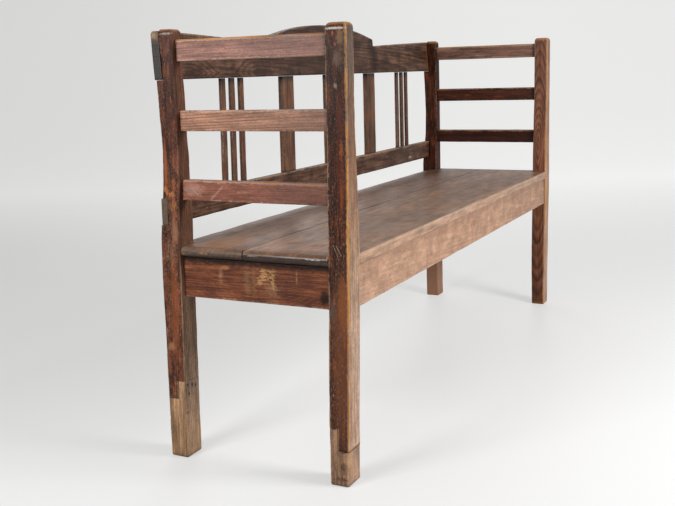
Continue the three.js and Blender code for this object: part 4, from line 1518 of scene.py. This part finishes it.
@dataclass
class EndPosts:
    """The two posts of one end, with the new feet where it has them."""

    side: Side
    sizes: PewSizes
    step: float
    foot_chamfer: Pair = (3 * MM, 5 * MM)
    head_round: Pair = (8 * MM, 12 * MM)
    front_splice: tuple[float, float, float] = (74 * MM, 122 * MM, 34 * MM)
    rear_splice: tuple[float, float, float] = (134 * MM, 173 * MM, 423 * MM)
    arris: float = 3 * MM
    rear_wear: Four = (0.45, 0.2, 0.35, 0.1)
    wear_reach: float = 4.0 * MM
    rear_reach: float = 3 * MM
    sawn_round: Pair = (0.6 * MM, 0.6 * MM)
    end_wear: Pair = (0.3, 0.5)
    rear_head_back: float = 0.1
    chips: tuple[Chip, ...] = tuple(
        Chip((x, y, z), (wide * MM, deep * MM, high * MM), depth * MM)
        for x, y, z, wide, deep, high, depth in (
            (-0.86, -0.233, 0.914, 3, 3, 4, 2.0),
            (-0.86, -0.232, 0.792, 3, 3, 9, 1.0),
            (-0.86, -0.231, 0.716, 4, 3, 12, 1.6),
            (-0.86, -0.2305, 0.655, 3, 3, 7, 1.2),
            (-0.86, -0.229, 0.512, 3, 3, 9, 1.2),
            (-0.86, -0.225, 0.33, 3, 3, 8, 1.4),
            (-0.861, -0.2225, 0.236, 3, 3, 14, 1.5),
            (-0.861, -0.2205, 0.14, 3, 3, 10, 1.6),
            (-0.862, -0.219, 0.06, 3, 3, 8, 1.8),
            (-0.863, -0.2185, 0.034, 3, 4, 7, 2.0),
            (-0.862, -0.186, 0.56, 3, 3, 9, 1.2),
            (-0.862, -0.184, 0.78, 3, 3, 12, 1.2),
            (-0.862, 0.223, 0.64, 3, 3, 10, 1.4),
            (-0.861, 0.22, 0.3, 3, 3, 12, 1.2),
        )
    )

    @property
    def front_wear(self) -> Four:
        """Gives how worn the front post's corners are, of which the camera's side shows the sharpest."""
        return (0.5, 0.2, 0.3, 1.2) if self.side is Side.LEFT else (0.3, 0.4, 1.0, 0.5)

    def post(
        self,
        name: str,
        form: PostForm,
        low: float,
        high: float,
        steps_at: tuple[float, ...],
        seed: int,
        cut: Callable[[Array, Array, Array], tuple[Array, Array]],
    ) -> Timber:
        """Makes one upright timber of a post.

        Args:
            name: Its CAD node.
            form: The post's form.
            low: Where it starts.
            high: Where it ends.
            steps_at: Heights at which a notch or lap starts or ends.
            seed: Its noise.
            cut: Takes the heights and the front and back faces, and gives the faces that are left.

        Returns:
            The timber.
        """
        sizes = self.sizes
        heights = spaced(low, high, self.step, steps_at)
        outer = sizes.half_length + sizes.splay * np.maximum(0.0, 1.0 - heights / sizes.seat_top)
        left, right = self.side.across(outer, form.width(heights))
        front, back = cut(heights, form.front(heights), form.back(heights))
        faces = np.stack([left, right, front + sizes.depth_origin, back + sizes.depth_origin], axis=1)
        foot = self.foot_chamfer if low == 0.0 else self.sawn_round
        head = self.head_round if high == form.height else self.sawn_round
        is_front = form is sizes.front_post
        return Timber(
            name,
            "new_foot_wood" if "foot" in name else "post_wood",
            Grain.Z,
            heights,
            faces,
            seed,
            arris=(self.arris,) * 4,
            corner_wear=self.side.corners(*(self.front_wear if is_front else self.rear_wear)),
            end_round=(foot[0], head[0]),
            end_height=(foot[1], head[1]),
            end_share=((1.0,) * 4, (1.0, 1.0, 1.0, 1.0 if is_front else self.rear_head_back)),
            end_wear=self.end_wear,
            pale_faces=(0.0, 0.0, 1.0, 0.0),
            wear_reach=self.wear_reach if is_front else self.rear_reach,
            chips=self.chips if self.side is Side.LEFT else (),
            step=self.step,
        )

    def timbers(self) -> list[tuple[Timber, WoodFinish]]:
        """Lists the end's upright timbers with their finishes.

        Returns:
            The timbers, each with its finish.
        """
        sizes, gap = self.sizes, self.sizes.gap
        front, rear = sizes.front_post, self.side.rear_post(sizes)
        notches = (sizes.lower_rail_foot - gap, sizes.lower_rail_top + gap, sizes.crest_foot - gap)

        def let_in(heights: Array, face: Array, back: Array) -> Array:
            """Cuts the notches of the crest and the lower rail out of a rear post's back.

            Args:
                heights: Heights above the floor.
                face: The front face, which is not used.
                back: The back face.

            Returns:
                The back face that is left.
            """
            beside_rail = (heights > notches[0]) & (heights < notches[1])
            let = np.where(beside_rail, sizes.back_plane - gap, back)
            return np.where(heights > notches[2], sizes.crest_front(heights) - gap, let)

        def let_post(heights: Array, face: Array, back: Array) -> tuple[Array, Array]:
            """Keeps the front face and cuts the notches."""
            return face, let_in(heights, face, back)

        if self.side is Side.RIGHT:
            whole = self.post("front_post_right", front, 0.0, front.height, (), 13, lambda z, f, b: (f, b))
            notched = self.post("rear_post_right", rear, 0.0, rear.height, notches, 17, let_post)
            return [(whole, FAR_FRONT_POST), (notched, FAR_REAR_POST)]
        low, high, lap = self.front_splice
        rear_low, rear_high, rear_lap = self.rear_splice
        above, rear_above = high + gap, rear_high + gap
        plans = (
            (NEAR_FRONT_POST, "front_post_left", front, low + gap, front.height, (above,), 3,
             lambda z, f, b: (f, np.where(z < above, lap - gap, b))),
            (NEAR_FRONT_FOOT, "front_foot_left", front, 0.0, high, (low,), 5,
             lambda z, f, b: (np.where(z > low, lap, f), b)),
            (NEAR_REAR_POST, "rear_post_left", rear, rear_low + gap, rear.height, (rear_above, *notches), 7,
             lambda z, f, b: (np.where(z < rear_above, rear_lap + gap, f), let_in(z, f, b))),
            (NEAR_REAR_FOOT, "rear_foot_left", rear, 0.0, rear_high, (rear_low,), 9,
             lambda z, f, b: (f, np.where(z > rear_low, rear_lap, b))),
        )
        return [(self.post(*plan), finish) for finish, *plan in plans]


@dataclass
class EndPieces:
    """The three rails and the apron between the posts of one end."""

    side: Side
    sizes: PewSizes
    step: float
    recess: float = 12 * MM
    rail_thickness: float = 20 * MM
    apron_thickness: float = 22 * MM
    half_span: float = 180 * MM
    rails: tuple[tuple[str, float, float], ...] = (
        ("end_rail_top", 878 * MM, 925 * MM),
        ("end_rail_middle", 727.5 * MM, 772.5 * MM),
        ("end_rail_lower", 577 * MM, 622 * MM),
    )
    rail_wear: tuple[Four, ...] = ((1.0, 0.5, 0.6, 1.1), (0.5, 0.3, 0.3, 0.5), (0.6, 0.3, 0.3, 0.65))
    apron_wear: Four = (0.0, 0.35, 0.4, 0.0)
    rail_arris: float = 3 * MM
    apron_arris: float = 2 * MM

    # How far the seeds of the far end are from those of the near one.
    FAR_SEEDS = 30

    def between_posts(self, heights: Array, places: Array) -> tuple[Array, Array]:
        """Gives where a piece starts and ends at each height, against the faces of the two posts.

        Args:
            heights: Heights above the floor.
            places: Places across the piece, which make no difference.

        Returns:
            The lowest and the highest Y.
        """
        sizes = self.sizes
        front = sizes.front_post.back(heights) + sizes.depth_origin + sizes.gap
        return front, self.side.rear_post(sizes).front(heights) + sizes.depth_origin - sizes.gap

    def piece(
        self,
        node: str,
        low: float,
        high: float,
        thickness: float,
        slot: str,
        seed: int,
        arris: float,
        wear: Four,
    ) -> Timber:
        """Makes one piece, which runs from the front post to the rear one.

        Args:
            node: Its CAD node.
            low: The height of its foot.
            high: The height of its top.
            thickness: How thick it is.
            slot: The record's material slot.
            seed: Its noise.
            arris: The radius of its corners.
            wear: How worn each corner is.

        Returns:
            The timber.
        """
        outer = self.sizes.half_length - self.recess
        left, right = self.side.across(outer, thickness)
        stations = spaced(-self.half_span, self.half_span, self.step)
        return Timber(
            node,
            slot,
            Grain.Y,
            stations,
            straight_faces(stations, low, high, float(left), float(right)),
            seed,
            arris=(arris,) * 4,
            corner_wear=wear,
            step=self.step,
            ends=self.between_posts,
        )

    def timbers(self) -> list[tuple[Timber, WoodFinish]]:
        """Lists the end's pieces with their finishes.

        Returns:
            The timbers, each with its finish.
        """
        made = []
        for index, (name, low, high) in enumerate(self.rails):
            seed = 20 + 3 * index + self.FAR_SEEDS * (self.side is Side.RIGHT)
            label = f"{name}_{self.side.label}"
            wear = self.rail_wear[index]
            size = (low, high, self.rail_thickness)
            timber = self.piece(label, *size, "rail_wood", seed, self.rail_arris, wear)
            made.append((timber, (NEAR_RAILS if self.side is Side.LEFT else FAR_RAILS)[index]))
        seed = 31 + self.FAR_SEEDS * (self.side is Side.RIGHT)
        low, high = self.sizes.apron
        label = f"end_apron_{self.side.label}"
        slot, arris = "end_apron_wood", self.apron_arris
        timber = self.piece(label, low, high, self.apron_thickness, slot, seed, arris, self.apron_wear)
        made.append((timber, NEAR_APRON if self.side is Side.LEFT else FAR_APRON))
        return made


@dataclass
class Seat:
    """The two planks, the two long aprons and the bearer."""

    sizes: PewSizes
    step: float = 4 * MM
    post_width: float = 56.8 * MM
    front_notch: float = 47.28 * MM
    rear_notch: float = 404.1 * MM
    joint: Pair = (248 * MM, 248.6 * MM)
    apron_end: float = 803.7 * MM
    front_apron_faces: Pair = (6 * MM, 28 * MM)
    rear_apron_faces: Pair = (414 * MM, 436 * MM)
    bearer_height: float = 60 * MM
    bearer_width: float = 44 * MM
    front_arris: Four = (1.2 * MM, 4 * MM, 3 * MM, 1.2 * MM)
    rear_arris: Four = (3 * MM, 1.2 * MM, 1.2 * MM, 3 * MM)
    front_wear: Four = (0.0, 0.9, 0.4, 0.0)
    rear_wear: Four = (0.1, 0.0, 0.0, 0.1)
    apron_wear: Four = (0.0, 0.0, 0.5, 0.3)
    nosing_share: float = 0.46
    tooling: float = 0.03 * MM

    def plank(self, place: str, front: float, back: float, seed: int, arris: Four, wear: Four) -> Timber:
        """Makes a plank with rounded ends, notched round the posts at its front or back corners.

        Args:
            place: Its place in the seat, as its CAD node says it.
            front: The depth of its front edge.
            back: The depth of its back edge.
            seed: Its noise.
            arris: The radii of its corners.
            wear: How worn each corner is.

        Returns:
            The timber.
        """
        sizes = self.sizes
        notch = sizes.half_length - self.post_width
        stations = spaced(-sizes.half_length, sizes.half_length, self.step, (-notch, notch))
        beyond = np.abs(stations) > notch
        low = np.where(beyond, max(front, self.front_notch), front) + sizes.depth_origin
        high = np.where(beyond, min(back, self.rear_notch), back) + sizes.depth_origin
        under, top = sizes.seat_top - sizes.seat_thickness, sizes.seat_top
        faces = np.stack([low, high, np.full_like(low, under), np.full_like(low, top)], axis=1)
        nosing = self.nosing_share * sizes.seat_thickness
        flat = (0.0, 0.0, 1.0, 1.0)
        return Timber(
            f"seat_plank_{place}",
            "seat_wood",
            Grain.X,
            stations,
            faces,
            seed,
            arris=arris,
            corner_wear=wear,
            step=self.step,
            end_round=(nosing, nosing),
            end_share=(flat, flat),
            tooling=self.tooling,
            pale_faces=(1.0 if front == 0.0 else 0.0, 0.0, 0.0, 0.0),
        )

    def long_apron(self, node: str, faces: Pair, slot: str, seed: int) -> Timber:
        """Makes an apron that runs along the pew between two posts.

        Args:
            node: Its CAD node.
            faces: The depths of its front and back.
            slot: The record's material slot.
            seed: Its noise.

        Returns:
            The timber.
        """
        stations = spaced(-self.apron_end, self.apron_end, self.step)
        front, back = (place + self.sizes.depth_origin for place in faces)
        flat = straight_faces(stations, front, back, *self.sizes.apron)
        return Timber(
            node, slot, Grain.X, stations, flat, seed, corner_wear=self.apron_wear, step=self.step
        )

    def bearer(self) -> Timber:
        """Makes the bearer between the long aprons.

        Returns:
            The timber.
        """
        origin = self.sizes.depth_origin
        front = self.front_apron_faces[1] + origin + self.sizes.gap
        back = self.rear_apron_faces[0] + origin - self.sizes.gap
        stations = spaced(front, back, self.step)
        top = self.sizes.apron[1]
        half = self.bearer_width / 2.0
        faces = straight_faces(stations, top - self.bearer_height, top, -half, half)
        return Timber("seat_bearer", "underside_wood", Grain.Y, stations, faces, 91, step=self.step)

    def timbers(self) -> list[tuple[Timber, WoodFinish]]:
        """Lists the seat's pieces with their finishes.

        Returns:
            The timbers, each with its finish.
        """
        joint, back = self.joint, self.sizes.back_plane
        return [
            (self.plank("front", 0.0, joint[0], 81, self.front_arris, self.front_wear), FRONT_PLANK),
            (self.plank("rear", joint[1], back, 83, self.rear_arris, self.rear_wear), REAR_PLANK),
            (self.long_apron("front_apron", self.front_apron_faces, "front_apron_wood", 85), FRONT_APRON),
            (self.long_apron("rear_apron", self.rear_apron_faces, "underside_wood", 87), UNDERSIDE),
            (self.bearer(), UNDERSIDE),
        ]


@dataclass
class Back:
    """The crest, the lower rail and the slats."""

    sizes: PewSizes
    step: float = 3 * MM
    crest_thickness: float = 20 * MM
    crest_end: float = 945 * MM
    crest_wing_low: float = 925 * MM
    crest_spring: float = 947 * MM
    crest_top: float = 982 * MM
    arch_half_span: float = 330 * MM
    arch_middle: float = -14 * MM
    wing_end: float = 821 * MM
    wing_swell: float = 1.5 * MM
    lower_rail_thickness: float = 16 * MM
    wide_slat: Pair = (62 * MM, 15 * MM)
    narrow_slat: Pair = (20 * MM, 8 * MM)
    group_offset: float = 562 * MM
    narrow_spacing: float = 43 * MM
    middle_slat: float = -11 * MM
    crest_corner: float = 8 * MM
    corner_length: float = 20 * MM
    wide_slat_inset: float = 0.5 * MM
    rail_arris: float = 1.8 * MM
    rail_wear: Four = (0.5, 0.55, 0.1, 0.2)
    rail_end_wear: Pair = (0.2, 0.2)
    slat_arris: float = 1.5 * MM
    slat_wear: float = 0.2
    slat_swell: float = 0.2 * MM

    def crest_height(self, places: Array) -> Array:
        """Gives the crest's top edge: level on the posts, a falling wing, a step and a low arch.

        The wing is a curve of the second degree from the post to the step, and the arch part of a circle
        through its springs and its top.

        Args:
            places: Places along X.

        Returns:
            The heights.
        """
        away = np.abs(places - self.arch_middle)
        rise = self.crest_top - self.crest_spring
        radius = (self.arch_half_span**2 + rise**2) / (2.0 * rise)
        arch = self.crest_top - radius + np.sqrt(np.maximum(0.0, radius**2 - away**2))
        steps = self.arch_half_span + np.sign(places) * self.arch_middle
        share = np.clip((self.wing_end - np.abs(places)) / (self.wing_end - steps), 0.0, 1.0)
        bend = (self.crest_end + self.crest_wing_low) / 2.0 + self.wing_swell
        rest = 1.0 - share
        wing = rest**2 * self.crest_end + 2 * share * rest * bend + share**2 * self.crest_wing_low
        return np.where(away < self.arch_half_span, arch, wing)

    def leaned(self, points: Array) -> Array:
        """Moves points back by the crest's slope times their height above its foot.

        Args:
            points: Places in metres, with X, Y and Z in the last axis.

        Returns:
            The moved points.
        """
        moved = points.copy()
        moved[..., 1] += self.sizes.crest_slope * (points[..., 2] - self.sizes.crest_foot)
        return moved

    def rounded_ends(self, places: Array) -> Array:
        """Gives how much rounder the crest's corners are at its worn ends."""
        share = smooth_share(np.abs(places), self.wing_end - self.corner_length, self.wing_end)
        return share[:, None] * np.array([self.crest_corner, 1 * MM, 0.0, 0.0])

    def rail(
        self, node: str, thickness: float, low: float, high: Array | float, stations: Array, seed: int
    ) -> Timber:
        """Makes a board that runs the whole length, with its front in the back's plane.

        Args:
            node: Its CAD node.
            thickness: How thick it is.
            low: The height of its foot.
            high: The height of its top.
            stations: The places of its rings.
            seed: Its noise.

        Returns:
            The timber.
        """
        sizes = self.sizes
        front = sizes.back_plane + sizes.depth_origin
        faces = straight_faces(stations, front, front + thickness, low, low)
        faces[:, 3] = high
        return Timber(
            node,
            "back_wood",
            Grain.X,
            stations,
            faces,
            seed,
            arris=(self.rail_arris,) * 4,
            corner_wear=self.rail_wear,
            step=self.step,
            end_wear=self.rail_end_wear,
        )

    def slat(self, node: str, centre: float, size: Pair, front: float, seed: int) -> Timber:
        """Makes an upright slat between the lower rail and the crest.

        Args:
            node: Its CAD node.
            centre: Its middle in X.
            size: Its width and thickness.
            front: The depth of its front.
            seed: Its noise.

        Returns:
            The timber.
        """
        sizes = self.sizes
        stations = spaced(sizes.lower_rail_top + sizes.gap, sizes.crest_foot - sizes.gap, self.step)
        half = size[0] / 2.0
        low = front + sizes.depth_origin
        return Timber(
            node,
            "slat_wood",
            Grain.Z,
            stations,
            straight_faces(stations, centre - half, centre + half, low, low + size[1]),
            seed,
            arris=(self.slat_arris,) * 4,
            corner_wear=(self.slat_wear,) * 4,
            step=self.step,
            swell=self.slat_swell,
        )

    def timbers(self) -> list[tuple[Timber, WoodFinish]]:
        """Lists the back's pieces with their finishes.

        Returns:
            The timbers, each with its finish.
        """
        sizes = self.sizes
        half = sizes.half_length
        steps = (self.arch_middle - self.arch_half_span, self.arch_middle + self.arch_half_span)
        stations = spaced(-half, half, self.step, steps)
        tops = self.crest_height(stations)
        crest = self.rail("crest_rail", self.crest_thickness, sizes.crest_foot, tops, stations, 101)
        crest.leaned, crest.rounded = self.leaned, self.rounded_ends
        stations = spaced(-half, half, self.step)
        foot, top = sizes.lower_rail_foot, sizes.lower_rail_top
        lower = self.rail("lower_back_rail", self.lower_rail_thickness, foot, top, stations, 103)
        made = [(crest, CREST), (lower, LOWER_RAIL)]
        beside = self.group_offset / 2.0
        front = sizes.back_plane + self.wide_slat_inset
        centres = {"left": -beside, "middle": self.middle_slat, "right": beside}
        for index, (name, centre) in enumerate(centres.items()):
            slat = self.slat(f"wide_slat_{name}", centre, self.wide_slat, front, 105 + 2 * index)
            made.append((slat, SLAT))
        front = sizes.back_plane + (self.lower_rail_thickness - self.narrow_slat[1]) / 2.0
        for group, (name, sign) in enumerate((("left", -1.0), ("right", 1.0))):
            for index in range(3):
                centre = sign * self.group_offset + (index - 1) * self.narrow_spacing
                seed = 113 + 2 * index + 8 * group
                slat = self.slat(f"narrow_slat_{name}_{index + 1}", centre, self.narrow_slat, front, seed)
                made.append((slat, SLAT))
        return made


@dataclass
class Studio:
    """The pale floor and backdrop, the three soft lamps, the white room and the camera."""

    camera_at: Place = (-2.5849, -1.02397, 0.8463)
    yaw: float = 0.4788
    pitch: float = -0.0974
    roll: float = -0.0285
    lens: float = 51.58
    shift: Pair = (0.0532, -0.1270)
    lamps: tuple[tuple[str, Place, Place, float, float], ...] = (
        ("side_lamp", (-2.43, 0.58, 1.28), (0.0, 0.0, 0.6), 0.7, 30.0),
        ("front_lamp", (-0.41, -2.24, 1.46), (0.0, 0.0, 0.5), 0.9, 60.0),
        ("end_lamp", (2.90, 1.70, 2.40), (0.0, 0.1, 0.5), 1.0, 12.0),
    )
    fill: float = 0.3
    seen_world: float = 0.8
    floor_glow: float = 0.50
    wall_glow: float = 0.19
    floor_fall: float = 0.28
    floor_tone: str = "a8a8a8"
    floor_start: float = -12.0
    floor_reach: float = 7.0
    floor_width: float = 14.0
    floor_drop: float = 0.1 * MM
    bend_radius: float = 2.5
    wall_top: float = 6.0
    wall_slope: float = 0.5
    rise_span: Pair = (1.2, 5.5)
    fall_span: Pair = (-2.2, 3.2)
    glow_tint: Pair = (0.997, 0.99)
    bend_steps: int = 16
    clip: Pair = (0.05, 60.0)
    floor_roughness: float = 0.42
    floor_specular: float = 0.12

    def camera(self) -> None:
        """Stands the camera where the photograph was taken from, turned by its yaw, pitch and roll."""
        forward = Vector(
            (
                math.cos(self.pitch) * math.cos(self.yaw),
                math.cos(self.pitch) * math.sin(self.yaw),
                math.sin(self.pitch),
            )
        )
        level = Vector((math.sin(self.yaw), -math.cos(self.yaw), 0.0))
        upright = level.cross(forward)
        right = math.cos(self.roll) * level + math.sin(self.roll) * upright
        above = -math.sin(self.roll) * level + math.cos(self.roll) * upright
        data = bpy.data.cameras.new("photograph_view")
        data.lens = self.lens
        data.shift_x, data.shift_y = self.shift
        data.clip_start, data.clip_end = self.clip
        made = placed("photograph_view", data)
        turned = Matrix((right, above, -forward)).transposed().to_4x4()
        made.matrix_world = Matrix.Translation(self.camera_at) @ turned
        bpy.context.scene.camera = made

    def light(self) -> None:
        """Places the lamps and fills the room with white light."""
        for name, at, aim, size, power in self.lamps:
            data = bpy.data.lights.new(name, "AREA")
            data.shape = "SQUARE"
            data.size = size
            data.energy = power
            made = placed(name, data)
            made.visible_camera = False
            away = Vector(aim) - Vector(at)
            made.matrix_world = Matrix.Translation(at) @ away.to_track_quat("-Z", "Y").to_matrix().to_4x4()
        world = bpy.data.worlds.new("white_room")
        world.use_nodes = True
        nodes = world.node_tree.nodes
        background = nodes["Background"]
        background.inputs["Color"].default_value = (1.0, 1.0, 1.0, 1.0)
        path, strength = nodes.new("ShaderNodeLightPath"), nodes.new("ShaderNodeMapRange")
        strength.inputs["To Min"].default_value = self.fill
        strength.inputs["To Max"].default_value = self.seen_world
        world.node_tree.links.new(path.outputs["Is Camera Ray"], strength.inputs["Value"])
        world.node_tree.links.new(strength.outputs["Result"], background.inputs["Strength"])
        bpy.context.scene.world = world

    def sweep(self) -> None:
        """Lays the floor, which turns up into a wall far behind the pew.

        The sweep is a line carried along Y's and X's bisector: level, then a quarter circle, then upright.
        """
        turn = np.linspace(0.0, QUARTER, self.bend_steps + 1)
        radius, reach, wide = self.bend_radius, self.floor_reach, self.floor_width
        out = np.concatenate([[self.floor_start], reach - radius + radius * np.sin(turn), [reach]])
        up = np.concatenate([[0.0], radius - radius * np.cos(turn), [self.wall_top]])
        ahead = np.array([math.cos(self.yaw), math.sin(self.yaw)])
        aside = np.array([-ahead[1], ahead[0]])
        across = np.linspace(-wide, wide, 3)
        flat = out[:, None, None] * ahead + across[None, :, None] * aside
        points = np.concatenate([flat, np.repeat(up[:, None, None], 3, axis=1) - self.floor_drop], axis=2)
        count = len(out)
        ring, spot = np.meshgrid(np.arange(count - 1), np.arange(2), indexing="ij")
        corner = ring * 3 + spot
        faces = np.stack([corner, corner + 3, corner + 4, corner + 1], -1).reshape(-1, 4)
        mesh = bpy.data.meshes.new("pale_floor")
        mesh.from_pydata(points.reshape(-1, 3).tolist(), [], faces.tolist())
        mesh.shade_smooth()
        mesh.materials.append(self.floor_paint((*ahead, self.wall_slope), (*aside, 0.0)))
        placed("pale_floor", mesh)

    def floor_paint(self, ahead: Place, aside: Place) -> bpy.types.Material:
        """Paints the sweep, with most of its brightness seen only by the camera and in mirrorings.

        Args:
            ahead: The direction in which it grows brighter, into the wall.
            aside: The direction in which it darkens a little.

        Returns:
            The material.
        """
        tree = Tree("pale_floor")
        place = tree.node("ShaderNodeTexCoord", {}, {}, "Object")
        across = tree.vector("DOT_PRODUCT", place, aside)
        camera = tree.node("ShaderNodeLightPath", {}, {}, "Is Camera Ray")
        mirrored = tree.node("ShaderNodeLightPath", {}, {}, "Is Glossy Ray")
        seen = camera.math("MAXIMUM", mirrored)
        fall = across.rising(*self.fall_span)
        rise = tree.vector("DOT_PRODUCT", place, ahead).rising(*self.rise_span) * self.wall_glow
        level = ((1.0 - fall * self.floor_fall) * self.floor_glow + rise) * seen
        green, blue = self.glow_tint
        glow = tree.node("ShaderNodeCombineColor", {}, {0: level, 1: level * green, 2: level * blue})
        tree.dress({"Emission Color": glow, "Emission Strength": 1.0, "Base Color": tone(self.floor_tone)})
        tree.dress({"Roughness": self.floor_roughness, "Specular IOR Level": self.floor_specular})
        return tree.material


def main() -> None:
    """Builds the pew's assemblies in order, then the stage and the camera."""
    logging.basicConfig(level=logging.INFO, format="%(message)s")
    assemblies = (
        EndPosts(Side.LEFT, SIZES, 2.0 * MM),
        EndPosts(Side.RIGHT, SIZES, 3.0 * MM),
        EndPieces(Side.LEFT, SIZES, 2.5 * MM),
        EndPieces(Side.RIGHT, SIZES, 3.5 * MM),
        Seat(SIZES),
        Back(SIZES),
    )
    for assembly in assemblies:
        for timber, finish in assembly.timbers():
            made = timber.build()
            WoodPaint(finish, timber).apply(made)
            LOG.info("%s: %d points, %s", made.name, len(made.data.vertices), timber.slot)
    studio = Studio()
    studio.sweep()
    studio.light()
    studio.camera()
    bpy.context.scene.view_settings.view_transform = "Standard"


if __name__ == "__main__":
    main()
